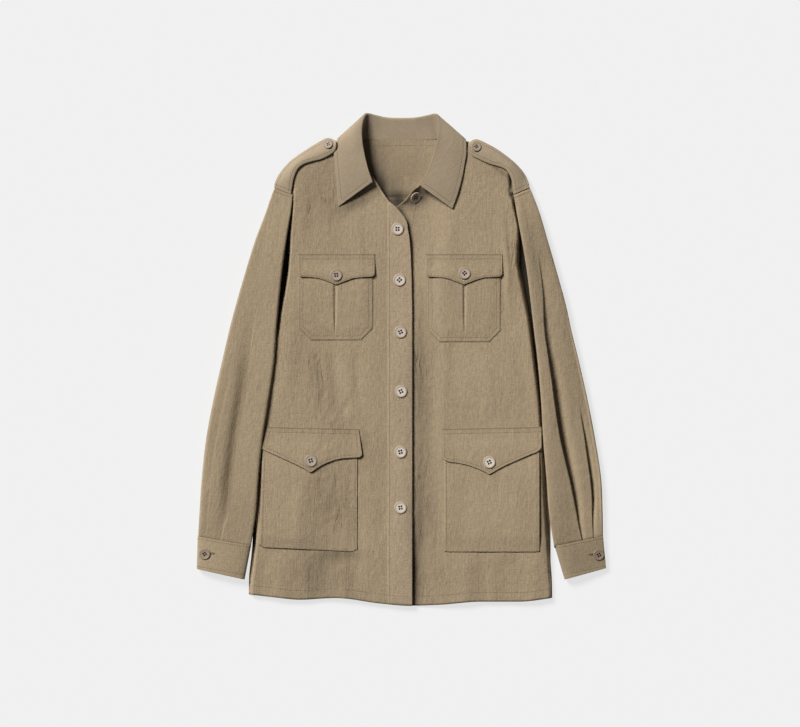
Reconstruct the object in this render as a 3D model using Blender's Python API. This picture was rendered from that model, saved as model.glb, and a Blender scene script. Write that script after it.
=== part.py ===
"""Utility jacket laid flat on its back, face up, buttoned, with the sleeves straight down.

+X is the picture's right (the wearer's left), +Y runs from hem to collar, +Z is up from the surface.
All sizes below are millimetres. Each sewn piece is a wall of cloth made as its outer face, then
thickened inwards; a piece that lies on a panel takes the panel's height and is moved out from it.
"""

import math

import bpy
import bmesh
import numpy as np

MM = 0.001

# Cloth and the gaps between pieces.
CLOTH = 1.5
SLEEVE_CLOTH = 1.3
COLLAR_CLOTH = 1.8
FLAP_CLOTH = 2.0
CUFF_CLOTH = 2.0
SEAM = 0.3
LIE = 0.7

# Loft of the pieces.
CUFF_LOFT = 16.0
YOKE_LIFT = 2.7
CHEST_PUFF = 1.4
HIP_PUFF = 4.2

# Fastenings.
FRONT_BUTTON = 20.0
CHEST_BUTTON = 18.0
HIP_BUTTON = 19.5
STRAP_BUTTON = 15.0
CUFF_BUTTON = 16.0
BUTTON_THICK = 3.4
BUTTON_SIDES = 10

PLACKET_WIDTH = 36.5
ARMHOLE_END = 0.29
SLEEVE_TURN = 21
SLEEVE_GAP = 1.0


def table(columns, *rows):
    """Rows under named columns, as one array for each column."""
    return dict(zip(columns.split(), np.array(rows, float).T))


# Half width of the body at each height, right and left of the wearer, with the height of the front's
# own edge and the length over which each front rises from it.
BODY = table(
    "y right left edge roll_right roll_left",
    (-372, 229.5, 226.5, 3.4, 9, 9),
    (-345, 229.0, 226.0, 3.4, 9, 9),
    (-307, 225.7, 224.0, 3.4, 9, 9),
    (-283, 224.0, 224.0, 3.4, 9, 9),
    (-226, 223.0, 223.6, 3.4, 10, 10),
    (-181, 219.5, 222.2, 3.4, 9, 11),
    (-121, 214.5, 219.2, 3.4, 9, 9),
    (-61, 207.0, 215.0, 3.4, 12, 14),
    (-1, 198.0, 208.8, 3.4, 14, 19),
    (51, 193.5, 202.8, 3.4, 14, 20),
    (90, 190.5, 198.0, 3.8, 17, 24),
    (134, 187.0, 191.5, 4.6, 22, 26),
    (179, 182.0, 182.5, 4.6, 20, 22),
    (215, 174.5, 175.5, 4.2, 14, 15),
    (243, 168.5, 170.5, 3.6, 10, 10),
    (247.4, 168.0, 170.0, 3.4, 10, 10),
    (251, 173.0, 174.5, 3.4, 11, 11),
    (254, 180.5, 181.5, 3.4, 12, 12),
    (258, 189.0, 189.5, 3.4, 13, 13),
    (269, 184.5, 184.5, 3.4, 14, 14),
    (281, 177.5, 177.5, 3.4, 14, 14),
    (293, 167.0, 167.0, 3.4, 14, 14),
    (305, 151.5, 151.5, 3.6, 14, 14),
    (316.5, 133.5, 133.5, 3.8, 14, 14),
    (323, 118.0, 118.0, 3.8, 14, 14),
    (326, 106.0, 106.0, 3.8, 14, 14),
    (327.5, 97.0, 97.0, 3.8, 14, 14),
    (331, 68.0, 68.0, 3.8, 14, 14),
)
SHOULDER = table(
    "x y",
    (0, 334), (50, 332.6), (68, 331), (97, 327.5), (106, 326), (118, 323), (133.5, 316.5), (151.5, 305),
    (167, 293), (177.5, 281), (184.5, 269), (189, 258), (192, 240), (196, 120), (230, 0),
)
LEVEL = table(
    "y z",
    (-372, 9), (-345, 10.5), (-290, 12), (-120, 12.5), (60, 13), (150, 13), (215, 12), (262, 10.8),
    (300, 10.4), (332, 9.6),
)
HEM = table(
    "x drop",
    (-230, -353), (-190, -357.5), (-152, -361), (-98, -358.5), (-34, -366.5), (14, -370.2),
    (60, -368.5), (116, -364), (175, -364), (230, -358),
)
# Front edge and neckline of the over front and of the under front.
OVER_EDGE = table(
    "y x",
    (-372, 16), (180, 15.5), (194, 10.5), (206, 7), (221, -2), (234, -17), (248, -28.5), (261, -40.5),
    (276, -47.5), (290, -52.5), (306, -56), (320, -57.5), (332, -58),
)
UNDER_EDGE = table(
    "y x",
    (-372, -20), (205, -20), (219, -18), (227, -12), (232, -4), (237, 3), (245, 9.5), (254, 17),
    (259, 23.5), (268, 31), (279, 37), (306, 47), (320, 51), (332, 55),
)
# Soft folds of the fronts: a ridge (or, below zero, a hollow) that runs from high to low.
FRONT_FOLDS = table(
    "high_x high_y low_x low_y width rise",
    (-150, 90, -175, -80, 16, 1.2),
    (-88, 10, -72, -100, 13, 1.4),
    (-46, -190, -52, -372, 15, 1.8),
    (-120, -300, -122, -380, 20, -1.0),
    (-176, -300, -180, -380, 18, 1.4),
    (44, -20, 36, -340, 14, -1.3),
    (78, 215, 66, 60, 14, 0.9),
    (-70, 215, -52, 40, 14, 0.9),
    (92, -300, 96, -380, 18, 1.5),
    (150, -300, 152, -380, 20, -1.0),
)

# Sleeves: silhouette side and body side at each height.
SLEEVES = {
    "right": table(
        "y outer inner",
        (262, 188.5, 163), (246, 195.0, 166.0), (221, 203.5, 170.0), (179, 219.5, 176.0),
        (134, 233.5, 180.8), (77, 250.0, 185.0), (44, 258.5, 187.5), (-1, 269.0, 191.5),
        (-61, 282.5, 200.0), (-121, 293.5, 207.8), (-181, 300.0, 213.8), (-226, 303.0, 219.8),
        (-283, 306.5, 226.2),
    ),
    "left": table(
        "y outer inner",
        (262, 190.5, 166), (246, 197.5, 167.5), (221, 207.0, 171.0), (179, 219.5, 177.0),
        (134, 232.5, 184.5), (77, 248.0, 192.0), (44, 255.0, 196.5), (-1, 266.0, 202.0),
        (-61, 279.5, 209.0), (-121, 291.0, 213.2), (-181, 300.0, 218.0), (-226, 302.0, 222.5),
        (-283, 302.8, 230.0),
    ),
}
SLEEVE_ROWS = (
    0, 0.025, 0.06, 0.11, 0.17, 0.23, ARMHOLE_END, 0.36, 0.44, 0.52, 0.60, 0.68, 0.76, 0.84, 0.92, 1.0,
)
SLEEVE_HEIGHT = table(
    "along loft inner outer",
    (0, 15, 7.5, 7.5), (0.06, 19, 8, 7.5), (0.15, 24, 10.5, 7.5), (0.3, 25, 11, 7.5),
    (0.45, 25, 13.5, 7.5), (0.8, 25, 13.5, 7.5), (0.93, 22, 11, 7), (1.0, 16.3, 6.5, 6.5),
)
# Furrows run down the sleeve to the cuff: place across (0 at the silhouette, 1 at the body).
FURROWS = {
    "right": table(
        "start start_across end_across depth width",
        (0.26, 0.60, 0.41, 6.0, 10.0),
        (0.62, 0.20, 0.15, 2.5, 6.0),
    ),
    "left": table(
        "start start_across end_across depth width",
        (0.30, 0.96, 0.42, 8.0, 9.5),
        (0.58, 0.21, 0.16, 4.5, 6.0),
    ),
}
CUFF_COLUMNS = "outer_x outer_y inner_x inner_y"
CUFFS = {
    "right": table(
        CUFF_COLUMNS, (306.0, -265.9, 225.8, -279.4), (307.3, -314.6, 235.5, -330.4),
    ),
    "left": table(
        CUFF_COLUMNS, (302.6, -265.3, 229.8, -280.1), (307.3, -313.7, 244.7, -330.5),
    ),
}

# Collar: neck seam, fold and outer edge at each station; the fold faces out at the given bearing and
# tips up from lying (0) to standing (90).
COLLAR_COLUMNS = "neck_x neck_y neck_z roll_x roll_y roll_z edge_x edge_y edge_z facing tip radius"
COLLAR = table(
    COLLAR_COLUMNS,
    (-43.5, 263, 14.2, -44, 265, 18.6, -94.6, 229, 16.6, 200, 90, 2.8),
    (-51, 276, 14.2, -50.5, 284, 20.2, -96, 245, 15.6, 190, 90, 3.2),
    (-56.5, 290, 14, -56, 306, 20.8, -97.5, 265, 15, 180, 90, 3.6),
    (-60.5, 306, 13.6, -59.5, 327, 20.4, -100, 290, 14.4, 180, 90, 3.6),
    (-62, 320, 12, -60.5, 345, 18.8, -101.5, 310, 14, 175, 85, 4),
    (-61.5, 328, 10, -58, 361, 15.6, -99, 323, 12.5, 155, 70, 4.4),
    (-59, 330, 8.6, -53.5, 369, 11.6, -95.5, 332, 6.5, 135, 45, 4.8),
    (-54, 330, 7.3, -49, 369.5, 7.2, -90, 331, 0.2, 118, 14, 5.2),
    (-43, 329, 6.5, -39, 367, 5.4, -60, 313, 0, 95, 0, 5.3),
    (-22, 328.4, 6.5, -20, 363.2, 5.3, -30, 307, 0, 90, 0, 5.3),
    (0, 328.4, 6.5, 0, 362.6, 5.3, 0, 305, 0, 90, 0, 5.3),
    (22, 328.4, 6.5, 20, 363.2, 5.3, 30, 307, 0, 90, 0, 5.3),
    (42, 329, 6.5, 39, 366.6, 5.4, 60, 313, 0, 85, 0, 5.3),
    (53, 330, 8.3, 48, 368.6, 7.2, 90, 330, 0.2, 62, 14, 5.2),
    (57.5, 330, 9.6, 52.5, 368, 11.6, 96, 331, 6.5, 45, 45, 4.8),
    (59, 328, 10, 56, 360, 15.6, 97.5, 322, 12.5, 25, 70, 4.4),
    (58.5, 320, 12, 57, 345, 18.8, 97.5, 310, 14, 5, 85, 4),
    (55, 306, 13.6, 54.5, 327, 20.4, 95.5, 296, 14.4, 0, 90, 3.6),
    (48.5, 290, 14, 48.5, 306, 20.8, 91, 272, 15, 0, 90, 3.6),
    (40.5, 276, 14.2, 40.5, 284, 20.2, 84.5, 248, 15.6, -10, 90, 3.2),
    (27, 259.5, 14.2, 27.2, 260.5, 18.6, 76.5, 225.4, 16.6, -20, 90, 2.8),
)
# The fall's hidden edge under the yoke.
FALL_EDGE = table("x y", (0, 305), (30, 307), (60, 313), (90, 330), (97, 334), (112, 344), (240, 420))

# Shoulder straps, from the pointed end beside the collar to the sleeve seam.
STRAP_COLUMNS = "low_x low_y high_x high_y low_lift high_z"
STRAPS = {
    "right": table(
        STRAP_COLUMNS,
        (103.0, 316.5, 103.5, 330.0, 1.4, 8.0),
        (106.5, 308.0, 112.0, 331.8, 1.2, 5.4),
        (119.5, 300.5, 130.5, 322.8, 1.2, 5.0),
        (133.0, 297.0, 143.0, 315.0, 1.2, 4.6),
        (145.5, 293.0, 157.0, 305.8, 1.6, 4.4),
        (155.5, 285.5, 171.5, 293.8, 2.4, 4.2),
        (161.5, 271.5, 183.5, 279.0, 3.4, 4.4),
        (164.0, 257.5, 189.5, 267.0, 4.2, 4.8),
        (165.3, 247.2, 191.4, 257.6, 4.8, 5.4),
    ),
    "left": table(
        STRAP_COLUMNS,
        (101.0, 314.5, 101.5, 327.5, 1.4, 8.0),
        (105.0, 306.5, 112.0, 330.6, 1.2, 5.4),
        (119.5, 298.5, 130.5, 323.0, 1.2, 5.0),
        (134.0, 292.5, 144.0, 315.5, 1.2, 4.6),
        (148.0, 288.5, 157.5, 306.0, 1.6, 4.4),
        (158.0, 283.0, 172.0, 294.0, 2.4, 4.2),
        (164.5, 271.0, 184.0, 280.0, 3.4, 4.4),
        (167.0, 258.0, 190.0, 268.0, 4.2, 4.8),
        (167.8, 247.4, 192.6, 257.8, 4.8, 5.4),
    ),
}

# Patch pockets: centre, half width, mouth and bottom; the corners are cut off.
CHEST = {
    "right": dict(centre=-98.5, half=55.7, mouth=143.0, bottom=28.5, cut=18.0, flap_top=157.9),
    "left": dict(centre=94.0, half=54.7, mouth=143.0, bottom=26.0, cut=17.0, flap_top=157.9),
}
CHEST_FLAP_HALF = 57.6
CHEST_FLAP = table(
    "across drop", (0, 46.0), (0.18, 42.0), (0.45, 36.6), (0.75, 34.6), (0.94, 34.0), (1, 30.5),
)
HIP_MOUTH = -117.0
HIP_BOTTOM = -289.0
HIP = {
    "right": dict(mouth_in=-65.5, mouth_out=-203.5, low_in=-66.0, low_out=-211.0),
    "left": dict(mouth_in=63.0, mouth_out=209.0, low_in=63.8, low_out=208.6),
}
HIP_FLAP_TOP = {
    "right": dict(inner_x=-62.5, inner_y=-104.6, outer_x=-204.5, outer_y=-101.4),
    "left": dict(inner_x=59.0, inner_y=-104.3, outer_x=210.0, outer_y=-101.4),
}
# Length of the hip flap from its inner end (0) to its outer end (1).
HIP_FLAP = table(
    "along drop",
    (0, 41.5), (0.04, 46), (0.18, 48.5), (0.35, 57), (0.505, 68.0), (0.70, 55.5), (0.96, 35.0), (1, 31.5),
)

# Buttons: what carries each one, its place and its size.
FRONT_BUTTONS = table(
    "x y", (-6, 195.4), (-3, 118.9), (-1.5, 40.9), (-0.8, -48.2), (-1.5, -139.0), (-1.5, -222.5),
)
NECK_BUTTON = dict(x=24.5, y=240.5, tilt=16.0, bearing=310.0)
CHEST_BUTTONS = {"right": (-97.8, 126.2), "left": (94.5, 128.8)}
HIP_BUTTONS = {"right": (-135.9, -152.0), "left": (131.6, -154.4)}
STRAP_BUTTONS = {"right": (-109.5, 322.5), "left": (112.0, 318.5)}
CUFF_BUTTONS = {"right": (-294.0, -292.0), "left": (294.0, -293.0)}
BUTTON_PROFILE = table(
    "radius height", (0, 0), (0.72, 0), (1, 0.36), (1, 0.70), (0.92, 1), (0.76, 1), (0.62, 0.62), (0, 0.58),
)

# Colours of the cloth and of the buttons.
KHAKI = (0.33, 0.26, 0.165)
KHAKI_LIGHT = (0.36, 0.29, 0.19)
TAUPE = (0.52, 0.47, 0.41)

SIDES = {"right": -1, "left": 1}


def curve(rows, column, at, key=None):
    """A column's value at a place along the table, on a smooth line through its rows."""
    knots = rows[key or next(iter(rows))]
    values = rows[column]
    at = np.clip(np.asarray(at, float), knots[0], knots[-1])
    step = np.diff(knots)
    slope = np.diff(values) / step
    least = np.minimum(abs(slope[:-1]), abs(slope[1:]))
    middle = np.clip((slope[:-1] + slope[1:]) / 2, -2.5 * least, 2.5 * least)
    middle = np.where(slope[:-1] * slope[1:] > 0, middle, 0)
    lean = np.concatenate([slope[:1], middle, slope[-1:]])
    i = np.clip(np.searchsorted(knots, at, side="right") - 1, 0, len(step) - 1)
    t = (at - knots[i]) / step[i]
    start = values[i] + step[i] * t * (1 - t) ** 2 * lean[i]
    bend = (values[i + 1] - values[i]) * t * t * (3 - 2 * t)
    return start + bend - step[i] * t * t * (1 - t) * lean[i + 1]


def ease(t):
    t = np.clip(t, 0, 1)
    return t * t * (3 - 2 * t)


def body_half(x, y):
    """Half width of the body at a height, on the side where x lies."""
    return np.where(np.asarray(x) < 0, curve(BODY, "right", y), curve(BODY, "left", y))


def yoke_rise(x, y):
    """How far the yoke is lifted by the collar's fall, which runs under it."""
    return YOKE_LIFT * ease((y - curve(FALL_EDGE, "y", abs(x)) + 17) / 13)


def front_folds(x, y):
    total = np.zeros(np.broadcast(x, y).shape)
    for high_x, high_y, low_x, low_y, width, rise in zip(*FRONT_FOLDS.values()):
        along = (high_y - y) / (high_y - low_y)
        centre = high_x + (low_x - high_x) * along
        fade = ease(along / 0.35) * ease((1.25 - along) / 0.3)
        total = total + rise * fade * np.exp(-(((x - centre) / width) ** 2))
    return total


def front_top(x, y):
    """Height of the fronts' upper face."""
    x = np.asarray(x, float)
    y = np.asarray(y, float)
    across = np.maximum(body_half(x, y) - abs(x), 1e-3)
    up = np.maximum(curve(SHOULDER, "y", abs(x)) - y, 1e-3)
    near = across * up / np.hypot(across, up)
    roll = np.where(x < 0, curve(BODY, "roll_right", y), curve(BODY, "roll_left", y))
    edge = curve(BODY, "edge", y) + yoke_rise(x, y)
    rise = ease(near / roll)
    return edge + (curve(LEVEL, "z", y) - edge + front_folds(x, y)) * rise


def under_top(x, y):
    """Height of the under front, which dips beneath the over front and curls down at the neck."""
    edge = curve(UNDER_EDGE, "x", y)
    dip = (CLOTH + 2 * LIE) * (1 - ease((x - 15) / 20)) * ease((262 - y) / 12)
    curl = 3.0 * ease((14 - (x - edge)) / 14) * ease((y - 222) / 14) * ease((268 - y) / 12)
    return front_top(x, y) - dip - curl


def over_top(x, y):
    """Height of the over front, which eases down along the open neck."""
    edge = curve(OVER_EDGE, "x", y)
    curl = 1.0 * ease((12 - (edge - x)) / 12) * ease((y - 186) / 20) * ease((262 - y) / 12)
    return front_top(x, y) - curl


def carrier_top(x, y):
    """Height of whichever front lies uppermost."""
    return np.where(np.asarray(x) < curve(OVER_EDGE, "x", y), over_top(x, y), under_top(x, y))


def material(name, colour, roughness):
    made = bpy.data.materials.new(name)
    made.use_nodes = True
    shader = made.node_tree.nodes["Principled BSDF"]
    shader.inputs["Base Color"].default_value = (*colour, 1)
    shader.inputs["Roughness"].default_value = roughness
    return made


def cloth(name, points, thick, colour=KHAKI, weld=False, flip=False):
    """A wall of cloth: a grid of points on its outer face, thickened inwards."""
    rows, columns = points.shape[:2]
    mesh = bpy.data.meshes.new(name)
    shape = bmesh.new()
    verts = [[shape.verts.new(point) for point in row] for row in points * MM]
    for r in range(rows - 1):
        for c in range(columns - 1):
            corners = (verts[r][c], verts[r][c + 1], verts[r + 1][c + 1], verts[r + 1][c])
            shape.faces.new(corners[::-1] if flip else corners)
    if weld:
        bmesh.ops.remove_doubles(shape, verts=shape.verts, dist=0.00002)
    shape.normal_update()
    shape.to_mesh(mesh)
    shape.free()
    made = bpy.data.objects.new(name, mesh)
    bpy.context.scene.collection.objects.link(made)
    mesh.materials.append(material(name + "_cloth", colour, 0.9))
    wall = made.modifiers.new("wall", "SOLIDIFY")
    wall.thickness = thick * MM
    wall.offset = -1
    return made


def spread(count, power):
    """Fractions from 0 to 1, closer together near 0."""
    return np.linspace(0, 1, count) ** power


def hem_y(x):
    return curve(HEM, "drop", x)


def body_rows(low_count):
    """Heights of the rows of a body panel: even from the hem, then one at each row of the outline."""
    upper = BODY["y"][BODY["y"] > 240]
    return np.concatenate([np.linspace(-372, 225, low_count), upper])


def body_row(x_from, x_to, y, steps):
    """One row of a body panel; the lowest rows bend to follow the hem."""
    x = x_from + (x_to - x_from) * steps
    share = ease((y + 372) / 150)
    return x, y + (hem_y(x) + 372) * (1 - share)


def build_fronts():
    for name, sign, edge, top in (
        ("front_over", -1, OVER_EDGE, over_top),
        ("front_under", 1, UNDER_EDGE, under_top),
    ):
        rows = []
        for y in body_rows(18):
            outer = sign * float(body_half(sign, y))
            x, run = body_row(outer, float(curve(edge, "x", y)), y, spread(13, 1.5))
            rows.append(np.stack([x, run, top(x, run)], axis=-1))
        cloth(name, np.array(rows), CLOTH, flip=sign > 0)


def build_placket():
    rows = []
    for y in np.concatenate([np.linspace(-372, 180, 19), (194, 206, 215, 222, 229, 234)]):
        high = float(curve(OVER_EDGE, "x", y)) - 0.3
        low = 15.7 - PLACKET_WIDTH
        x, run = body_row(low, high, y, np.linspace(0, 1, 4))
        rows.append(np.stack([x, run, over_top(x, run) + LIE + CLOTH], axis=-1))
    cloth("front_placket", np.array(rows), CLOTH, KHAKI_LIGHT)


def build_back():
    steps = np.linspace(0, 1, 9)
    rows = []
    for y in np.concatenate([np.linspace(-366, 225, 13), (237, 245.7)]):
        x, run = body_row(-float(body_half(-1, y)), float(body_half(1, y)), y, steps)
        rows.append(np.stack([x, run + 3 * (1 - ease((y + 366) / 60)), np.zeros(9)], axis=-1))
    cloth("back_panel", np.array(rows), CLOTH, flip=True)
    steps = np.linspace(0, 1, 15)
    rows = []
    for y in (246.1, 247.4, 251, 254, 258, 269, 281, 293, 305, 316.5, 323, 327.5, 330.8):
        left = float(body_half(1, y))
        right = float(body_half(-1, y))
        x = left * steps - right * (1 - steps)
        rows.append(np.stack([x, np.full(15, y), yoke_rise(x, y)], axis=-1))
    cloth("back_yoke", np.array(rows), CLOTH, flip=True)


def build_collar():
    stations = []
    for row in zip(*COLLAR.values()):
        part = dict(zip(COLLAR, row))
        neck = np.array([part["neck_x"], part["neck_y"], part["neck_z"]])
        roll = np.array([part["roll_x"], part["roll_y"], part["roll_z"]])
        edge = np.array([part["edge_x"], part["edge_y"], part["edge_z"]])
        bearing = math.radians(part["facing"])
        tip = math.radians(part["tip"])
        away = np.array([math.cos(bearing), math.sin(bearing), 0])
        up = np.array([0, 0, 1.0])
        out = math.cos(tip) * away + math.sin(tip) * up
        inward = -math.sin(tip) * away + math.cos(tip) * up
        radius = part["radius"]
        heart = roll - out * radius
        turn = [
            heart + radius * (out * math.sin(a) + inward * math.cos(a)) for a in np.linspace(0, math.pi, 5)
        ]
        stand = [neck + (turn[0] - neck) * t for t in (0, 0.35, 0.7)]
        bow = 1.6 * math.sin(tip)
        fall = [
            turn[-1] + (edge - turn[-1]) * t + up * bow * math.sin(math.pi * t) for t in (0.25, 0.5, 0.75, 1)
        ]
        stations.append(stand + turn + fall)
    cloth("collar", np.array(stations), COLLAR_CLOTH, KHAKI_LIGHT, flip=True)


def strap_grid(side, count, columns):
    """Points of a shoulder strap's upper face, row by row from its pointed end."""
    sign = SIDES[side]
    stations = dict(at=np.linspace(0, 1, len(STRAPS[side]["low_x"])), **STRAPS[side])
    rows = []
    for at in np.linspace(0, 1, count):
        at_row = [float(curve(stations, name, at)) for name in STRAPS[side]]
        low_x, low_y, high_x, high_y, lift, high_z = at_row
        t = np.linspace(0, 1, columns)
        x = sign * (low_x + (high_x - low_x) * t)
        y = low_y + (high_y - low_y) * t
        low_z = float(front_top(x[0], y[0])) + CLOTH + LIE + lift
        z = low_z + (high_z - low_z) * t ** 1.6 + 2.2 * np.sin(np.pi * t)
        rows.append(np.stack([x, y, z], axis=-1))
    return np.array(rows)


def build_straps():
    for side, sign in SIDES.items():
        cloth(f"strap_{side}", strap_grid(side, 15, 6), CLOTH, KHAKI_LIGHT, flip=sign > 0)


def furrow_rows(side, along):
    """Each furrow of a sleeve at a place along it: where it lies across, its depth and its width."""
    for start, start_across, end_across, depth, wide in zip(*FURROWS[side].values()):
        run = max(0, (along - start) / (1 - start))
        held = 1 - 0.7 * float(ease((along - 0.88) / 0.12))
        centre = start_across + (end_across - start_across) * run ** 0.8
        yield centre, depth * held * float(ease(run / 0.35)), wide


def sleeve_across(side, along, count):
    """Places across the sleeve's top, closer at its edges, with lines that follow the furrows."""
    main, second = (centre for centre, _, _ in furrow_rows(side, along))
    steps = np.linspace(0, 1, count)
    places = np.interp(steps, (0, 0.24, 0.6, 1), (0, second, min(main, 0.78), 1))
    return (0.75 * places + 0.125 * (1 - np.cos(np.pi * places)))[1:-1]


def sleeve_row(side, along):
    """One turn round the sleeve: from the front seam over its top and under it to the back seam."""
    sign = SIDES[side]
    edges = SLEEVES[side]
    outer_y = 256.6 + (CUFFS[side]["outer_y"][0] + 0.5 - 256.6) * along
    inner_y = 246.2 + (CUFFS[side]["inner_y"][0] + 0.5 - 246.2) * along
    outer = np.array([float(np.interp(outer_y, edges["y"][::-1], edges["outer"][::-1])), outer_y])
    inner = np.array([float(np.interp(inner_y, edges["y"][::-1], edges["inner"][::-1])), inner_y])
    width = float(np.hypot(*(outer - inner)))
    loft = float(curve(SLEEVE_HEIGHT, "loft", along))
    inner_z = float(curve(SLEEVE_HEIGHT, "inner", along))
    outer_z = float(curve(SLEEVE_HEIGHT, "outer", along))
    free = along < ARMHOLE_END - 0.01
    seam = float(body_half(sign, inner_y)) + 0.9 - inner[0]
    seam_z = float(curve(BODY, "edge", inner_y)) + (0.3 if free else 1.3)
    if not free:
        seam_z = 1.4 + (seam_z - 1.4) * float(ease(seam / 4))
        seam = max(seam, 4.5)

    across = sleeve_across(side, along, 18)
    base = outer_z + (inner_z - outer_z) * across
    crown = (1 - abs(2 * across - 1) ** 2.6) ** 0.55
    top = base + (loft - base) * crown
    for centre, depth, wide in furrow_rows(side, along):
        top -= depth * crown * np.exp(-(((across - centre) * width / wide) ** 2))

    loop = [(seam, seam_z), (0.45 * seam, 0.5 * (seam_z + inner_z)), (0, inner_z)]
    loop += [(width * (1 - a), z) for a, z in zip(across[::-1], top[::-1])]
    loop += [(width, outer_z), (width - 1.2, 3.2), (width - 4.2, 0.8), (width - 9, 0)]
    low = seam + (4.0 if free else 6.5)
    loop += [(width - 9 - (width - 9 - low) * t, 0) for t in (0.25, 0.5, 0.75, 1)]
    loop += [(seam, 0) if free else (seam, seam_z)]
    loop = np.array(loop)
    run = (outer - inner) / width
    x = sign * (inner[0] + run[0] * loop[:, 0])
    y = inner[1] + run[1] * loop[:, 0]
    return np.stack([x, y, loop[:, 1]], axis=-1)


def build_sleeves():
    """Each sleeve is cut in two parts: one over the arm, and one under it that lies on the surface."""
    for side, sign in SIDES.items():
        rows = np.array([sleeve_row(side, along) for along in SLEEVE_ROWS])
        cloth(f"sleeve_{side}", rows[:, :SLEEVE_TURN + 1], SLEEVE_CLOTH, flip=sign > 0)
        under = rows[:, SLEEVE_TURN:].copy()
        for end, towards in ((0, 1), (-1, -2)):
            run = under[:, towards] - under[:, end]
            under[:, end] += SLEEVE_GAP * run / np.linalg.norm(run, axis=-1, keepdims=True)
        cloth(f"sleeve_{side}_under", under, SLEEVE_CLOTH, flip=sign > 0)


def cuff_section(width):
    """Outer face of a cuff across its width, as places across and heights, round from the body side."""
    steps = np.linspace(0, math.pi, 13)
    across = 0.5 * (1 - np.cos(steps))
    top = 6.5 + (CUFF_LOFT - 6.5) * np.sin(steps) ** 0.6
    turn = [(1 - 3.2 / width, 1.6), (1 - 9 / width, 0), (0.62, 0)]
    back = [(0.38, 0), (9 / width, 0), (3.2 / width, 1.6)]
    return [*zip(across, top), *turn, *back, (0.0, 6.5)]


def cuff_top(side, x, y):
    """Height of the cuff's upper face."""
    rows = CUFFS[side]
    down = (rows["outer_y"][0] - y) / (rows["outer_y"][0] - rows["outer_y"][1])
    outer = rows["outer_x"][0] + (rows["outer_x"][1] - rows["outer_x"][0]) * down
    inner = rows["inner_x"][0] + (rows["inner_x"][1] - rows["inner_x"][0]) * down
    across = np.clip((abs(x) - inner) / (outer - inner), 0.001, 0.999)
    return 6.5 + (CUFF_LOFT - 6.5) * (4 * across * (1 - across)) ** 0.3


def build_cuffs():
    for side, sign in SIDES.items():
        rows = CUFFS[side]
        grid = []
        for t in np.linspace(0, 1, 4):
            outer = np.array([rows["outer_x"] @ (1 - t, t), rows["outer_y"] @ (1 - t, t)])
            inner = np.array([rows["inner_x"] @ (1 - t, t), rows["inner_y"] @ (1 - t, t)])
            run = outer - inner
            loop = cuff_section(float(np.hypot(*run)))
            grid.append([[sign * (inner[0] + run[0] * q), inner[1] + run[1] * q, z] for q, z in loop])
        cloth(f"cuff_{side}", np.array(grid), CUFF_CLOTH, weld=True, flip=sign > 0)


def chest_top(side, x, y):
    """Height of the chest pocket's outer face: drawn down along its middle pleat and at its edges."""
    part = CHEST[side]
    off = abs(x - part["centre"])
    puff = CHEST_PUFF * ease(off / 9) * ease((part["half"] - off) / 16) * ease((y - part["bottom"]) / 16)
    return carrier_top(x, y) + LIE + CLOTH + puff


def build_chest_pockets():
    for side, sign in SIDES.items():
        part = CHEST[side]
        height = part["mouth"] - part["bottom"]
        rows = []
        for y in part["mouth"] - height * np.array([0, 0.16, 0.32, 0.48, 0.64, 0.78, 0.86, 0.93, 1]):
            half = part["half"] - max(0, part["cut"] - (y - part["bottom"]))
            x = part["centre"] + half * np.array([-1, -0.8, -0.5, -0.22, -0.07, 0, 0.07, 0.22, 0.5, 0.8, 1])
            rows.append(np.stack([x, np.full_like(x, y), chest_top(side, x, y)], axis=-1))
        cloth(f"chest_pocket_{side}", np.array(rows), CLOTH, flip=True)


def chest_flap_top(side, x, y):
    part = CHEST[side]
    down = part["flap_top"] - y
    over = ease(down / 11) * (CHEST_PUFF + CLOTH + 0.7)
    return carrier_top(x, y) + LIE + FLAP_CLOTH + over + 0.8 * ease((down - 20) / 20)


def build_chest_flaps():
    for side in SIDES:
        part = CHEST[side]
        centre = part["centre"] + (0.8 if side == "right" else -0.4)
        across = np.array([-1, -0.94, -0.75, -0.45, -0.18, 0, 0.18, 0.45, 0.75, 0.94, 1])
        x = centre + CHEST_FLAP_HALF * across
        drop = curve(CHEST_FLAP, "drop", abs(across))
        rows = []
        for share in (0, 0.18, 0.36, 0.68, 1):
            y = part["flap_top"] - drop * share
            rows.append(np.stack([x, y, chest_flap_top(side, x, y)], axis=-1))
        cloth(f"chest_flap_{side}", np.array(rows), FLAP_CLOTH, flip=True)


def hip_puff(y):
    """How far the hip pocket stands out, least at its mouth."""
    return HIP_PUFF * (0.3 + 0.7 * ease((-112 - y) / 45))


def hip_top(x, y):
    """Height of the hip pocket's outer face."""
    return carrier_top(x, y) + LIE + CLOTH + hip_puff(y)


def build_hip_pockets():
    for side, sign in SIDES.items():
        part = HIP[side]
        rows = []
        for share, wall in ((0, 1), (0.2, 1), (0.4, 1), (0.6, 1), (0.8, 1), (0.965, 1), (1, 0)):
            y = HIP_MOUTH + (HIP_BOTTOM - HIP_MOUTH) * share
            inner = part["mouth_in"] + (part["low_in"] - part["mouth_in"]) * share
            outer = part["mouth_out"] + (part["low_out"] - part["mouth_out"]) * share
            t = np.array([0, 0.022, 0.18, 0.36, 0.54, 0.72, 0.86, 0.978, 1])
            rise = np.array([0, 1, 1, 1, 1, 1, 1, 1, 0]) * wall
            x = inner + (outer - inner) * t
            run = np.full_like(x, y)
            z = hip_top(x, run) - hip_puff(run) * (1 - rise)
            rows.append(np.stack([x, run, z], axis=-1))
        cloth(f"hip_pocket_{side}", np.array(rows), CLOTH, flip=sign > 0)


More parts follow.
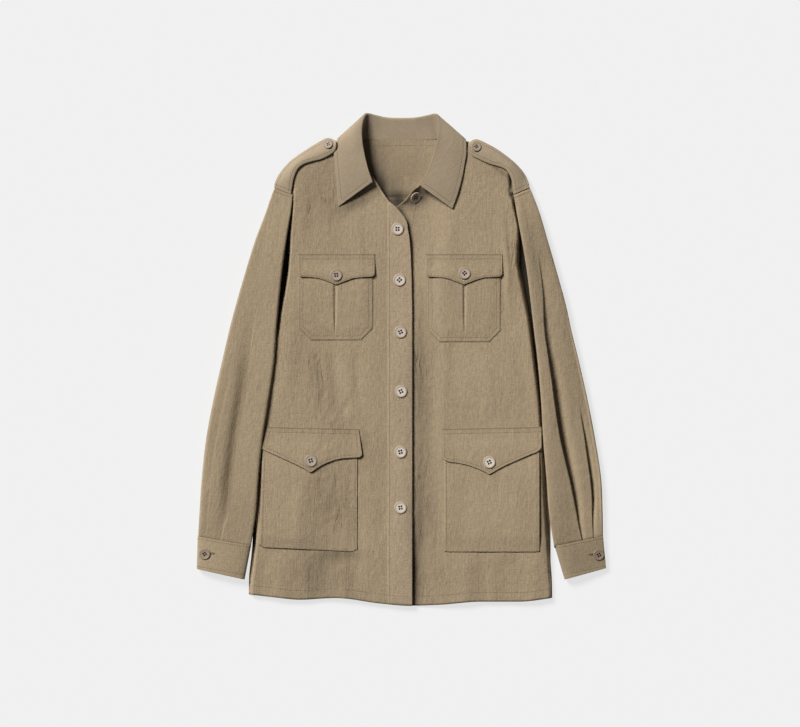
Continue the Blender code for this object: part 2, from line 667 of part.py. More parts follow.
def hip_flap_top(side, x, y):
    part = HIP_FLAP_TOP[side]
    down = 0.5 * (part["inner_y"] + part["outer_y"]) - y
    over = ease(down / 12) * (hip_puff(y) + CLOTH + 0.7)
    return carrier_top(x, y) + LIE + FLAP_CLOTH + over + 1.2 * ease((down - 26) / 30)


def build_hip_flaps():
    for side, sign in SIDES.items():
        part = HIP_FLAP_TOP[side]
        along = np.array([0, 0.04, 0.11, 0.18, 0.27, 0.36, 0.44, 0.505, 0.58, 0.68, 0.78, 0.88, 0.96, 1])
        x = part["inner_x"] + (part["outer_x"] - part["inner_x"]) * along
        top = part["inner_y"] + (part["outer_y"] - part["inner_y"]) * along
        drop = curve(HIP_FLAP, "drop", along)
        rows = []
        for share in (0, 0.18, 0.36, 0.68, 1):
            y = top - drop * share
            rows.append(np.stack([x, y, hip_flap_top(side, x, y)], axis=-1))
        cloth(f"hip_flap_{side}", np.array(rows), FLAP_CLOTH, flip=sign > 0)


def button(name, x, y, size, surface, tilt=None, bearing=None):
    """A turned button with a raised rim, resting just clear of what carries it."""
    reach = 0.5 * size
    slope = np.array([
        (surface(x + reach, y) - surface(x - reach, y)) / size,
        (surface(x, y + reach) - surface(x, y - reach)) / size,
    ], float)
    if tilt is not None:
        turn = math.radians(bearing)
        slope = -math.tan(math.radians(tilt)) * np.array([math.cos(turn), math.sin(turn)])
    ring = np.linspace(0, 2 * math.pi, 25)
    most = max(
        float(surface(x + r * math.cos(a), y + r * math.sin(a)))
        - r * (slope[0] * math.cos(a) + slope[1] * math.sin(a))
        for r in (0, 0.4 * reach, 0.8 * reach, reach)
        for a in ring
    )
    mesh = bpy.data.meshes.new(name)
    profile = [(r * reach * MM, 0, h * BUTTON_THICK * MM) for r, h in zip(*BUTTON_PROFILE.values())]
    mesh.from_pydata(profile, [(i, i + 1) for i in range(len(profile) - 1)], [])
    made = bpy.data.objects.new(name, mesh)
    bpy.context.scene.collection.objects.link(made)
    turned = made.modifiers.new("turned", "SCREW")
    turned.steps = BUTTON_SIDES
    turned.render_steps = BUTTON_SIDES
    turned.use_merge_vertices = True
    turned.merge_threshold = 0.00001
    turned.use_normal_calculate = True
    mesh.materials.append(material(name + "_shell", TAUPE, 0.35))
    made.location = (x * MM, y * MM, (most + SEAM) * MM)
    made.rotation_euler = (math.atan(slope[1]), -math.atan(slope[0]), 0)
    return made


def placket_top(x, y):
    return over_top(np.minimum(x, 14.0), y) + LIE + CLOTH


def strap_top(side):
    """The plane that rests on a shoulder strap round its button."""
    grid = strap_grid(side, 40, 12).reshape(-1, 3)
    near = grid[np.hypot(*(grid[:, :2] - STRAP_BUTTONS[side]).T) < 0.75 * STRAP_BUTTON]
    flat = np.column_stack([near[:, :2], np.ones(len(near))])
    lean = np.linalg.lstsq(flat, near[:, 2], rcond=None)[0]
    over = float((near[:, 2] - flat @ lean).max())
    return lambda x, y: lean[0] * x + lean[1] * y + lean[2] + over


def build_buttons():
    for i, (x, y) in enumerate(zip(*FRONT_BUTTONS.values()), 1):
        button(f"button_front_{i}", x, y, FRONT_BUTTON, placket_top)
    button("button_neck", size=FRONT_BUTTON, surface=under_top, **NECK_BUTTON)
    for side in SIDES:
        places = (
            ("chest", CHEST_BUTTONS, CHEST_BUTTON, lambda x, y: chest_flap_top(side, x, y)),
            ("hip", HIP_BUTTONS, HIP_BUTTON, lambda x, y: hip_flap_top(side, x, y)),
            ("strap", STRAP_BUTTONS, STRAP_BUTTON, strap_top(side)),
            ("cuff", CUFF_BUTTONS, CUFF_BUTTON, lambda x, y: cuff_top(side, x, y)),
        )
        for place, spots, size, surface in places:
            button(f"button_{place}_{side}", *spots[side], size, surface)


def main():
    for old in list(bpy.data.objects):
        bpy.data.objects.remove(old)
    build_back()
    build_fronts()
    build_placket()
    build_collar()
    build_straps()
    build_sleeves()
    build_cuffs()
    build_chest_pockets()
    build_chest_flaps()
    build_hip_pockets()
    build_hip_flaps()
    build_buttons()


main()
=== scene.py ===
"""Dresses a utility jacket laid flat: thin cloth shells with creases, topstitching, buttons and a stage."""

import math
from functools import partial

import bpy
import numpy as np
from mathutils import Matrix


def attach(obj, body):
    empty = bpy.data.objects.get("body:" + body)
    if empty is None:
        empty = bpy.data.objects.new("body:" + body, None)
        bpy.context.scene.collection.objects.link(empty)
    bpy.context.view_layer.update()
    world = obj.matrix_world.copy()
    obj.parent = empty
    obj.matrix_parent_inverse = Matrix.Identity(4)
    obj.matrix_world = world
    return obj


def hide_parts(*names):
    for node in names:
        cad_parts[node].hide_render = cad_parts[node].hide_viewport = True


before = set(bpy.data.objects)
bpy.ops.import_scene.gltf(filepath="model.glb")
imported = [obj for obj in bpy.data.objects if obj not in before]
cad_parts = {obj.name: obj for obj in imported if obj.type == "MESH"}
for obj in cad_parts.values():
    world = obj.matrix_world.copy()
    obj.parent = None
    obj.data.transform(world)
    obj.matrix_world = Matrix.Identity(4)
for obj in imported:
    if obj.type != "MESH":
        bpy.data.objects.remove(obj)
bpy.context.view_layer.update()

bl_info = {
    "name": "Laid-out utility jacket",
    "version": (1, 0, 0),
    "blender": (4, 5, 0),
    "location": "3D View > Sidebar > Jacket",
    "description": "Cloth, stitching, buttons and stage of a utility jacket laid flat on its back",
    "category": "Object",
}

MM = 0.001
SIDES = {"right": -1, "left": 1}
# Points close to a turned edge, in from it.
FINE_RIM = (0.3, 0.8, 1.4)
POCKET_RIM = (0.3, 0.8, 1.3)
GUSSET_RIM = (0.4, 1.0, 1.9)


def table(columns, *rows):
    """Rows under named columns, as one array for each column."""
    return dict(zip(columns.split(), np.array(rows, float).T))


# Form of the body, in millimetres: its side seams, out from the middle.
BODY = table(
    "y right left",
    (-372, 229.5, 226.5), (-345, 229, 226), (-307, 225.7, 224), (-283, 224, 224), (-226, 223, 223.6),
    (-181, 219.5, 222.2), (-121, 214.5, 219.2), (-61, 207, 215), (-1, 198, 208.8), (51, 193.5, 202.8),
    (90, 190.5, 198), (134, 187, 191.5), (179, 182, 182.5), (215, 174.5, 175.5), (243, 168.5, 170.5),
    (247.4, 168, 170), (251, 173, 174.5), (254, 180.5, 181.5), (258, 189, 189.5), (269, 184.5, 184.5),
    (281, 177.5, 177.5), (293, 167, 167), (305, 151.5, 151.5), (316.5, 133.5, 133.5), (323, 118, 118),
    (326, 106, 106), (327.5, 97, 97), (331, 68, 68),
)
BODY_FOOT = -372.0
# Where the fronts turn down beside the sleeves: distance in from the side seam, and width of the turn.
TURN = table(
    "y in_right in_left wide_right wide_left",
    (-372, 0.5, 0.5, 3.5, 3), (-350, 0.8, 0.8, 4, 3), (-300, 2.0, 1.5, 4, 3.5), (-211, 5.0, 6.0, 4, 5),
    (-136, 5.5, 6.5, 4, 4.5), (-61, 3.8, 6.8, 4, 4.5), (-1, 4.2, 7.6, 4.5, 5), (51, 7.8, 7.4, 4.5, 6),
    (74, 9.3, 8.0, 4.5, 7), (104, 12.6, 9.5, 4.5, 8), (134, 14.5, 11, 5, 8), (165, 13.4, 6.8, 5, 6),
    (200, 8.2, 2.2, 6, 3), (230, 4, 2.0, 7, 4), (250, 0, 0, 9, 9), (258, 0, 0, 13, 13), (334, 0, 0, 14, 14),
)
# Outline of a shoulder.
SHOULDER = table(
    "x y",
    (0, 334), (50, 332.6), (68, 331), (97, 327.5), (106, 326), (118, 323), (133.5, 316.5), (151.5, 305),
    (167, 293), (177.5, 281), (184.5, 269), (189, 258), (192, 240), (196, 120), (230, 0),
)
# Height of the fronts' upper face.
LEVEL = table(
    "y z",
    (-372, 7.6), (-345, 9.2), (-290, 11.6), (-120, 12.6), (60, 13), (150, 13), (215, 12), (262, 10.8),
    (300, 10.4), (332, 9.6),
)
# Lower edge of the body, and its row of stitches.
HEM = table(
    "x drop",
    (-230, -353), (-190, -357.5), (-152, -361), (-98, -358.5), (-34, -366.5), (14, -370.2), (60, -368.5),
    (116, -364), (175, -364), (230, -358),
)
HEM_INSET = 14
HEM_DENT = 0.15
# Front edges of the over and the under front, and the edge of the collar's fall at the back.
OVER_EDGE = table(
    "y x",
    (-372, 16), (60, 16), (110, 15.3), (150, 14), (180, 12), (194, 9.6), (206.5, 7.6), (214.6, 3),
    (221.5, -2.5), (228.4, -8.5), (236.5, -18), (251.5, -28.6), (261, -34.5), (269, -39.5), (280, -47.5),
    (290, -52.5), (306, -56), (320, -57.5), (332, -58),
)
UNDER_EDGE = table(
    "y x",
    (-372, -20), (205, -20), (219, -18), (227, -12), (232, -4), (237, 3), (245, 9.5), (254, 17), (259, 23.5),
    (268, 33), (279, 41), (306, 52), (320, 56), (332, 60),
)
FALL_EDGE = table("x y", (0, 305), (30, 307), (60, 313), (90, 330), (97, 334), (112, 344), (240, 420))
# Creases and folds of the fronts: a ridge, or below zero a trough, from one end to the other.
CREASE_COLUMNS = "from_x from_y to_x to_y bow width rise"
FRONT_CREASES = table(
    CREASE_COLUMNS,
    (-150, 130, -178, -110, 4, 15, 1.3),
    (-86, 60, -70, -118, 3, 12, 0.8),
    (-106, 24, -98, -96, -3, 6, -0.8),
    (-124, 20, -112, -78, 2, 5, -0.7),
    (-142, 24, -134, -60, 2, 6, 0.6),
    (-66, 20, -62, -92, 2, 7, -0.8),
    (-44, -60, -52, -385, 2, 15, 0.9),
    (-118, -284, -122, -390, 2, 17, -2.0),
    (-88, -286, -84, -390, 0, 9, 1.2),
    (-176, -284, -182, -390, 0, 16, 1.6),
    (-206, -284, -212, -390, 0, 9, -1.0),
    (36, 130, 33, -390, 2, 6, -0.6),
    (62, 80, 56, -210, -3, 9, 0.9),
    (78, 245, 66, 70, 0, 13, 0.9),
    (54, 200, 47, 80, 3, 7, -0.7),
    (-70, 245, -48, 40, 0, 13, 0.9),
    (-128, 250, -136, 166, 3, 9, -0.7),
    (-60, 220, -52, 110, -2, 6, -0.5),
    (150, 240, 163, 60, -4, 10, 0.9),
    (128, 20, 140, -100, 3, 14, 0.9),
    (172, 40, 196, -100, 3, 9, -0.8),
    (92, -284, 97, -390, 0, 17, 1.8),
    (126, -290, 124, -390, 2, 10, -1.0),
    (152, -288, 154, -390, 0, 15, -1.3),
    (196, -284, 200, -390, 0, 14, 1.3),
    (164.5, 296, 165.5, 236, 0, 2.6, -6.0),
    (-163.5, 292, -163.5, 240, 0, 2.4, -4.0),
    (160, 232, 167, 140, 3, 4, -0.9),
    (153, 196, 160, 90, -2, 4, 1.0),
    (150, 150, 157, 60, 2, 3.5, -0.9),
    (178, 200, 190, 90, 3, 5, -0.9),
    (168, 180, 178, 110, 2, 4, 0.6),
)
HIP_CREASES = table(
    CREASE_COLUMNS,
    (-118, -150, -124, -300, 4, 16, -1.3),
    (-92, -176, -84, -296, -3, 7, 0.8),
    (-150, -180, -156, -296, 3, 9, 0.8),
    (-104, -200, -108, -290, 2, 5, -0.6),
    (-78, -150, -74, -240, 2, 5, -0.5),
    (100, -170, 96, -296, 3, 10, -0.5),
    (168, -170, 172, -296, -3, 12, 0.6),
)

# Patches of painted shade and painted light, and where the cloth is crinkled most: middle, half width,
# half height, lean of the patch, change of painted shade, share of crinkles.
SHADE_PATCH_COLUMNS = "x y wide high lean shade crinkle"
PAINTED_SHADE_PATCHES = table(
    SHADE_PATCH_COLUMNS,
    (-125, 234, 30, 60, 0.05, -0.16, 0.9),
    (-60, 190, 24, 34, 0, 0.03, 0.1),
    (-120, -36, 25, 70, -0.38, -0.16, 1.0),
    (-66, -20, 18, 110, 0.02, 0.05, 0),
    (-186, 20, 14, 80, -0.2, 0.03, 0.7),
    (-100, -216, 34, 62, 0.1, -0.19, 0.9),
    (-124, -324, 24, 40, 0, -0.30, 0.8),
    (-88, -326, 16, 34, 0, -0.12, 0.5),
    (-205, -330, 24, 30, 0, -0.06, 0.3),
    (-52, -230, 14, 90, 0, 0.03, 0.2),
    (28, -30, 20, 86, 0, -0.25, 0.9),
    (31, -236, 21, 120, 0, -0.31, 0.9),
    (66, -330, 18, 40, 0, -0.07, 0.5),
    (64, 60, 16, 90, 0, -0.03, 0.5),
    (120, -30, 60, 70, 0, 0.05, 0.1),
    (172, 150, 14, 60, 0.1, -0.06, 1.0),
    (130, 220, 40, 30, 0, -0.02, 0.3),
    (275, -60, 40, 190, 0.2, -0.07, 0.2),
    (275, -300, 45, 28, 0, -0.15, 0),
    (-270, -150, 30, 120, -0.2, -0.02, 0.2),
    (76, 280, 24, 60, 0, 0.04, 0),
    (145, 300, 40, 22, -0.4, -0.05, 0),
)

# Painted shadows on single pieces, where they lie deep under others or in their shadow, in the same way.
SHADOW_PATCH_COLUMNS = "x y wide high lean shade"
PAINTED_SHADOWS = {
    "back_panel": table(SHADOW_PATCH_COLUMNS, (-12, 238, 42, 30, 0, -0.68)),
    "back_yoke": table(
        SHADOW_PATCH_COLUMNS,
        (-58, 302, 28, 50, 0.1, -0.52),
        (-34, 258, 27, 24, -0.3, -0.54),
        (-4, 246, 42, 7, 0, -0.35),
        (-16, 285, 46, 60, 0, -0.12),
    ),
    "collar": table(
        SHADOW_PATCH_COLUMNS,
        (-50, 348, 15, 30, 0.1, -0.45),
        (-84, 276, 26, 60, 0, -0.08),
        (50, 346, 7, 26, -0.15, -0.26),
    ),
    "front_over": table(
        SHADOW_PATCH_COLUMNS,
        (-62, 238, 17, 17, 1.47, -0.44),
        (-57, -124, 7, 24, 0, -0.26),
        (-92, -293, 36, 8, 0, -0.32),
    ),
    "front_under": table(
        SHADOW_PATCH_COLUMNS,
        (13, 234, 15, 14, 0.7, -0.52),
        (30, 245, 16, 14, 0.4, -0.52),
        (19, -340, 8, 55, 0, -0.50),
        (138, 290, 5, 20, -1.37, -0.30),
        (216, -210, 9, 78, 0, -0.38),
        (164, 268, 5, 16, -0.3, -0.55),
    ),
}

# Form of the sleeves and cuffs.
SLEEVES = {
    "right": table(
        "y outer inner",
        (-283, 306.5, 226.2), (-226, 303.0, 217.2), (-181, 300.0, 214.0), (-121, 293.5, 207.9),
        (-61, 282.5, 198.6), (-1, 269.0, 190.2), (44, 258.5, 187.2), (77, 250.0, 184.2), (134, 233.5, 178.4),
        (179, 219.5, 172.3), (221, 203.5, 165.6), (246, 195.0, 163.0), (262, 188.5, 161),
    ),
    "left": table(
        "y outer inner",
        (-283, 302.8, 229.0), (-226, 302.0, 220.4), (-181, 300.0, 217.2), (-121, 291.0, 212.2),
        (-61, 279.5, 208.8), (-1, 266.0, 203.6), (44, 255.0, 198.2), (77, 248.0, 194.4), (134, 232.5, 187.4),
        (179, 219.5, 180.0), (221, 207.0, 172.4), (246, 197.5, 168.5), (262, 190.5, 166),
    ),
}
SLEEVE_HEIGHT = table(
    "along loft",
    (0, 12.5), (0.03, 15), (0.07, 19.5), (0.13, 23.5), (0.2, 25), (0.85, 25), (0.94, 21.5), (1.0, 16.3),
)
# Share of the sleeve that lies along the open armhole.
ARMHOLE_END = 0.29
# Height of a sleeve's silhouette, and of its top above that.
SLEEVE_BASE = 7.5
SLEEVE_RISE = 17.5
# Height of a sleeve's upper face across it, from the silhouette to the lip beside the body.
SLEEVE_PROFILE = {
    "right": table(
        "across z",
        (0, 7.5), (0.004, 13), (0.012, 16.4), (0.03, 18.2), (0.06, 18.9), (0.35, 19.4), (0.6, 19.8),
        (0.85, 20.2), (0.93, 20.2), (0.965, 19.7), (0.988, 18.6), (1, 16.5),
    ),
    "left": table(
        "across z",
        (0, 6), (0.004, 9), (0.012, 10.6), (0.03, 11.6), (0.06, 12.4), (0.35, 16.6), (0.6, 20.4),
        (0.72, 22.8), (0.85, 24.6), (0.93, 25), (0.965, 24.8), (0.988, 24.2), (1, 22.5),
    ),
}
# How far a cuff leans to the body side, and falls to its free edge.
CUFF_LEAN = {"right": (1.0, 0.0), "left": (4.2, 4.5)}
# Pleats that run down the sleeve into the cuff: place across (0 at the silhouette, 1 at the body), depth,
# width of the wall on the body side and of the slope on the other, and how much of the depth the cloth keeps.
PLEAT_COLUMNS = "along across depth wall slope kept"
PLEATS = {
    "right": (
        table(
            PLEAT_COLUMNS,
            (0.34, 0.49, 0, 0.7, 13, 0), (0.43, 0.50, 2.2, 0.6, 13, 0), (0.51, 0.508, 4.8, 0.5, 12, 0),
            (0.597, 0.535, 6.8, 0.5, 11, 0), (0.683, 0.544, 7.4, 0.5, 11, 0),
            (0.769, 0.53, 7.6, 0.5, 10.5, 0), (0.855, 0.516, 7.2, 0.5, 10.5, 0),
            (0.912, 0.515, 4.4, 0.5, 10, 0), (0.956, 0.464, 1.8, 0.5, 8, 0), (1, 0.43, 0.5, 0.5, 6, 0),
        ),
        table(
            PLEAT_COLUMNS,
            (0.5, 0.20, 0, 1.2, 5, 0), (0.62, 0.19, 0.5, 1.2, 5, 0), (0.9, 0.15, 0.5, 1.0, 4, 0),
            (1, 0.14, 0.2, 0.9, 4, 0),
        ),
    ),
    "left": (
        table(
            PLEAT_COLUMNS,
            (0.17, 0.47, 0, 0.9, 9, 0), (0.224, 0.515, 1.6, 0.8, 9, 0), (0.282, 0.569, 2.8, 0.7, 11, 0),
            (0.368, 0.69, 5.0, 0.6, 14, 0.2), (0.454, 0.716, 8.0, 0.6, 14, 0.3),
            (0.54, 0.707, 11, 0.6, 13, 0.3), (0.625, 0.691, 13, 0.6, 12, 0.3),
            (0.711, 0.651, 13, 0.6, 12, 0.3), (0.797, 0.588, 12, 0.6, 10, 0.3),
            (0.883, 0.515, 9, 0.6, 8, 0.3), (0.956, 0.461, 4, 0.6, 5, 0.2), (1, 0.42, 2, 0.6, 4, 0),
        ),
        table(
            PLEAT_COLUMNS,
            (0.62, 0.185, 0, 0.7, 6, 0), (0.711, 0.19, 4.5, 0.6, 6, 0.2), (0.797, 0.195, 7, 0.6, 6, 0.2),
            (0.883, 0.182, 6.5, 0.6, 5, 0.2), (0.956, 0.196, 2.5, 0.6, 4, 0.2), (1, 0.19, 1, 0.6, 4, 0),
        ),
    ),
}
CUFF_BASE = 6.5
CUFF_LOFT = 16.0
CUFF_STEPS = 44
# Corners of each cuff, at the sleeve and at its free edge.
CUFFS = {
    "right": table(
        "outer_x outer_y inner_x inner_y", (306.0, -265.9, 225.8, -279.4), (307.3, -314.6, 235.5, -330.4),
    ),
    "left": table(
        "outer_x outer_y inner_x inner_y", (302.6, -265.3, 229.8, -280.1), (307.3, -313.7, 244.7, -330.5),
    ),
}

# Collar: neck seam, fold and outer edge at each station.
COLLAR = table(
    "neck_x neck_y neck_z roll_x roll_y roll_z edge_x edge_y edge_z facing tip radius",
    (-43.5, 263, 15.2, -44, 265, 20.5, -94.6, 229, 13.0, 200, 90, 1.2),
    (-51, 276, 15.5, -50.5, 284, 22.5, -96, 245, 13.5, 190, 90, 1.2),
    (-56.5, 290, 15.5, -56, 306, 23.6, -97.5, 265, 13.8, 180, 90, 1.3),
    (-60.5, 306, 14.6, -59.5, 327, 24, -100, 290, 13.4, 180, 90, 1.4),
    (-62, 320, 12.6, -60.5, 345, 22, -101.5, 310, 13, 175, 85, 1.7),
    (-61.5, 328, 8.6, -58, 361, 17.5, -99, 323, 11.8, 155, 70, 2.0),
    (-59, 330, 7.2, -53.5, 369, 11.4, -95.5, 332, 6.5, 135, 45, 2.4),
    (-54, 330, 5.7, -49, 369.5, 7.2, -90, 331, 0.2, 118, 14, 2.6),
    (-43, 329, 3.85, -39, 367, 5.4, -60, 313, 0, 95, 0, 2.6),
    (-22, 328.4, 3.75, -20, 363.2, 5.3, -30, 307, 0, 90, 0, 2.6),
    (0, 328.4, 3.75, 0, 362.6, 5.3, 0, 305, 0, 90, 0, 2.6),
    (22, 328.4, 3.75, 20, 363.2, 5.3, 30, 307, 0, 90, 0, 2.6),
    (42, 329, 3.85, 39, 366.6, 5.4, 60, 313, 0, 85, 0, 2.6),
    (53, 330, 4.4, 48, 368.6, 7.2, 90, 330, 0.2, 62, 14, 2.6),
    (57.5, 330, 6.2, 52.5, 368, 11.4, 96, 331, 6.5, 45, 45, 2.4),
    (59, 328, 8.6, 56, 360, 15.2, 97.5, 322, 11.8, 25, 70, 2.0),
    (58.5, 320, 12, 57, 345, 18.2, 97.5, 310, 12.8, 5, 85, 1.7),
    (55, 306, 13.6, 54.5, 327, 19.6, 95.5, 296, 13, 0, 90, 1.4),
    (48.5, 290, 14, 48.5, 306, 20, 91, 272, 13.6, 0, 90, 1.3),
    (40.5, 276, 14.2, 40.5, 284, 21, 84.5, 248, 14.6, -10, 90, 1.2),
    (27, 259.5, 14.2, 27.2, 260.5, 21.5, 76.5, 225.4, 14.6, -20, 90, 1.2),
)

# Shoulder straps, from the pointed end beside the collar to the sleeve seam.
STRAP_COLUMNS = "low_x low_y high_x high_y low_lift high_z"
STRAPS = {
    "right": table(
        STRAP_COLUMNS,
        (97.5, 316.5, 98.5, 328, 4.8, 15.5),
        (104.5, 308.5, 110.5, 332.4, 2.4, 7),
        (119.5, 300.5, 130.5, 322.8, 1.6, 5),
        (133, 297, 143, 315, 1.6, 4.6),
        (145.5, 293, 157, 305.8, 1.6, 4.4),
        (155.5, 285.5, 171.5, 293.8, 1.8, 4.2),
        (161.5, 271.5, 183.5, 279, 1.4, 4.4),
        (164, 257.5, 189.5, 267, 0.6, 4.8),
        (165.3, 247.2, 191.4, 257.6, 0.2, 5.4),
    ),
    "left": table(
        STRAP_COLUMNS,
        (100, 315.5, 100.5, 325.5, 0.6, 8),
        (105, 306.5, 112, 330.6, 0.8, 5.4),
        (119.5, 298.5, 130.5, 323, 1.2, 5),
        (134, 292.5, 144, 315.5, 1.2, 4.6),
        (148, 288.5, 157.5, 306, 1.4, 4.4),
        (158, 283, 172, 294, 1.8, 4.2),
        (164.5, 271, 184, 280, 1.4, 4.4),
        (167, 258, 190, 268, 0.6, 4.8),
        (167.8, 247.4, 192.6, 257.8, 0.2, 5.4),
    ),
}

# Patch pockets and their flaps.
CHEST = {
    "right": dict(
        centre=-98.5, half=55.7, mouth=143.0, bottom=28.5, cut=18.0, slit=-99.5,
        flap_centre=-97.7, flap_top=157.9, grain=330,
    ),
    "left": dict(
        centre=94.0, half=54.7, mouth=143.0, bottom=26.0, cut=17.0, slit=94.5,
        flap_centre=93.6, flap_top=157.9, grain=410,
    ),
}
CHEST_FLAP_HALF = 57.6
CHEST_FLAP = table(
    "across drop", (0, 46.0), (0.18, 42.0), (0.45, 36.6), (0.75, 34.6), (0.94, 34.0), (1, 30.5),
)
HIP_MOUTH = -117.0
HIP_BOTTOM = -289.0
HIP = {
    "right": dict(mouth_in=-65.5, mouth_out=-207.6, low_in=-66.0, low_out=-213.6, slant=7.0, corner=5.0),
    "left": dict(mouth_in=63.0, mouth_out=206.8, low_in=63.8, low_out=207.2, slant=0.0, corner=1.0),
}
HIP_FLAP_TOP = {
    "right": dict(inner_x=-64.0, inner_y=-104.6, outer_x=-201.5, outer_y=-101.4, flare=(5.0, 7.8), grain=520),
    "left": dict(inner_x=59.0, inner_y=-104.3, outer_x=210.0, outer_y=-101.4, flare=(0.0, 0.0), grain=600),
}
HIP_FLAP_INSET = 4.2
HIP_INSET = 4.0
HIP_FLAP = {
    "right": table(
        "along drop",
        (0, 38), (0.02, 42), (0.1, 43.5), (0.214, 45.5), (0.365, 53), (0.45, 59.8), (0.515, 66),
        (0.527, 66.6), (0.539, 66), (0.57, 63.2), (0.673, 55.8), (0.8, 46.6), (0.9, 39.6), (0.95, 36.6),
        (1, 32.5),
    ),
    "left": table(
        "along drop",
        (0, 42), (0.048, 47.9), (0.176, 51.9), (0.29, 56.4), (0.389, 62.4), (0.45, 67.0), (0.47, 69),
        (0.4815, 69.6), (0.493, 69), (0.52, 66.6), (0.602, 59.8), (0.744, 50.2), (0.886, 41.4), (0.978, 35),
        (1, 31),
    ),
}
# Sewn edge of the placket strip, and the row of stitches beside it.
PLACKET_LOW = -20.8
PLACKET_STITCH = PLACKET_LOW + 3.0

# Buttons: place, size, turn of the holes, paleness (set to how bright each shows: partly painted shade).
BUTTON_COLUMNS = "x y size turn pale"
FRONT_BUTTONS = table(
    BUTTON_COLUMNS,
    (-6, 195.4, 18.8, 0, 1), (-3, 118.9, 18.8, 45, 1), (-1.5, 40.9, 18.8, 25, 0.8),
    (-0.8, -48.2, 18.8, 25, 1), (-1.5, -139.0, 18.8, 15, 1), (-1.5, -222.5, 18.8, 10, 1),
)
# The neck button is darkened as painted shade, and its rim made paler than any other as a painted highlight.
NECK_BUTTON = dict(x=21.0, y=243.0, size=17, turn=10, paleness=0.42, gloss=0.6, rim_pale=1.8)
NECK_TILT = 38.0
NECK_BEARING = 318.0
# A low paleness here is partly painted shade too.
SIDE_BUTTONS = {
    "chest": {"right": (-97.8, 126.2, 18, 5, 0.25), "left": (94.5, 128.8, 18, 40, 0.4)},
    "hip": {"right": (-135.9, -152.0, 18.8, 15, 0.35), "left": (131.6, -154.4, 18.8, 25, 1)},
    "strap": {"right": (-109.5, 322.5, 15, 20, -0.15), "left": (112.0, 318.5, 15, 35, 0.1)},
    "cuff": {"right": (-295.0, -292.0, 17, 35, 0), "left": (296.0, -293.4, 17, 30, 0)},
}


def curve(rows, column, at):
    """A column's value at a place along the table, on a smooth line through its rows."""
    knots = rows[next(iter(rows))]
    values = rows[column]
    at = np.clip(np.asarray(at, float), knots[0], knots[-1])
    step = np.diff(knots)
    slope = np.diff(values) / step
    least = np.minimum(abs(slope[:-1]), abs(slope[1:]))
    middle = np.clip((slope[:-1] + slope[1:]) / 2, -2.5 * least, 2.5 * least)
    middle = np.where(slope[:-1] * slope[1:] > 0, middle, 0)
    lean = np.concatenate([slope[:1], middle, slope[-1:]])
    i = np.clip(np.searchsorted(knots, at, side="right") - 1, 0, len(step) - 1)
    t = (at - knots[i]) / step[i]
    start = values[i] + step[i] * t * (1 - t) ** 2 * lean[i]
    bend = (values[i + 1] - values[i]) * t * t * (3 - 2 * t)
    return start + bend - step[i] * t * t * (1 - t) * lean[i + 1]


def ease(t):
    """A smooth step from 0 to 1."""
    t = np.clip(t, 0, 1)
    return t * t * (3 - 2 * t)


def bell(offset, width):
    """A smooth bump, 1 in its middle."""
    return np.exp(-((offset / width) ** 2))


def unit(vectors):
    return vectors / np.maximum(np.linalg.norm(vectors, axis=-1, keepdims=True), 1e-9)


def xyz(x, y, z):
    """Points from coordinates of matching shapes."""
    return np.stack(np.broadcast_arrays(x, y, z), axis=-1)


class Crinkle:
    """The cloth's fine crinkles from washing, drawn out along the grain, as a height of about one unit."""

    STEP = 1.25
    SHAPE = (720, 480)

    def __init__(self, seed):
        self.noise = np.random.default_rng(seed)
        fine = self.blurred(1.8, 3.4)
        middle = self.blurred(2.6, 9.0)
        broad = self.blurred(8.0, 26.0)
        crepe = self.blurred(2.2, 2.4)
        patch = self.blurred(26.0, 40.0)
        self.drift = self.blurred(16.0, 30.0)
        ridged = np.sign(middle) * abs(middle) ** 1.4
        self.field = (0.5 * fine + 0.45 * ridged) * np.clip(0.7 + 0.45 * patch, 0.15, 1.7)
        self.field = self.field + 0.5 * broad + 0.4 * crepe
        self.mottle = self.blurred(4.0, 30.0)

    def blurred(self, across, along):
        """Seeded noise, smoothed by that many millimetres across and along the grain."""
        rows, columns = self.SHAPE
        ky = np.fft.fftfreq(rows)[:, None] * along / self.STEP
        kx = np.fft.fftfreq(columns)[None, :] * across / self.STEP
        kept = np.exp(-2 * math.pi ** 2 * (kx ** 2 + ky ** 2))
        made = np.fft.ifft2(np.fft.fft2(self.noise.standard_normal(self.SHAPE)) * kept).real
        return made / made.std()

    def sampled(self, field, u, v):
        rows, columns = self.SHAPE
        c = np.asarray(u, float) / self.STEP
        r = np.asarray(v, float) / self.STEP
        c0 = np.floor(c).astype(int)
        r0 = np.floor(r).astype(int)
        fc = c - c0
        fr = r - r0
        total = 0
        for dr, wr in ((0, 1 - fr), (1, fr)):
            for dc, wc in ((0, 1 - fc), (1, fc)):
                total = total + wr * wc * field[(r0 + dr) % rows, (c0 + dc) % columns]
        return total

    def at(self, u, v):
        lean = 4.5 * self.sampled(self.drift, u, v)
        return self.sampled(self.field, u + lean, v)


CRINKLE = Crinkle(7)


def patch_sum(column, x, y, rows=PAINTED_SHADE_PATCHES):
    """Painted change of shade, or share of crinkles, summed over the patches at a point of the laid-out
    jacket.
    """
    broken = 1 + 0.16 * np.clip(CRINKLE.sampled(CRINKLE.mottle, x + 450, y + 450), -2, 2)
    total = np.zeros(np.broadcast(x, y).shape)
    for row in range(len(rows["x"])):
        part = {name: values[row] for name, values in rows.items()}
        up = (y - part["y"]) / part["high"]
        off = (x - part["x"] - part["lean"] * (y - part["y"])) / part["wide"]
        total = total + part[column] * np.exp(-(off ** 2 + up ** 2))
    return total * broken


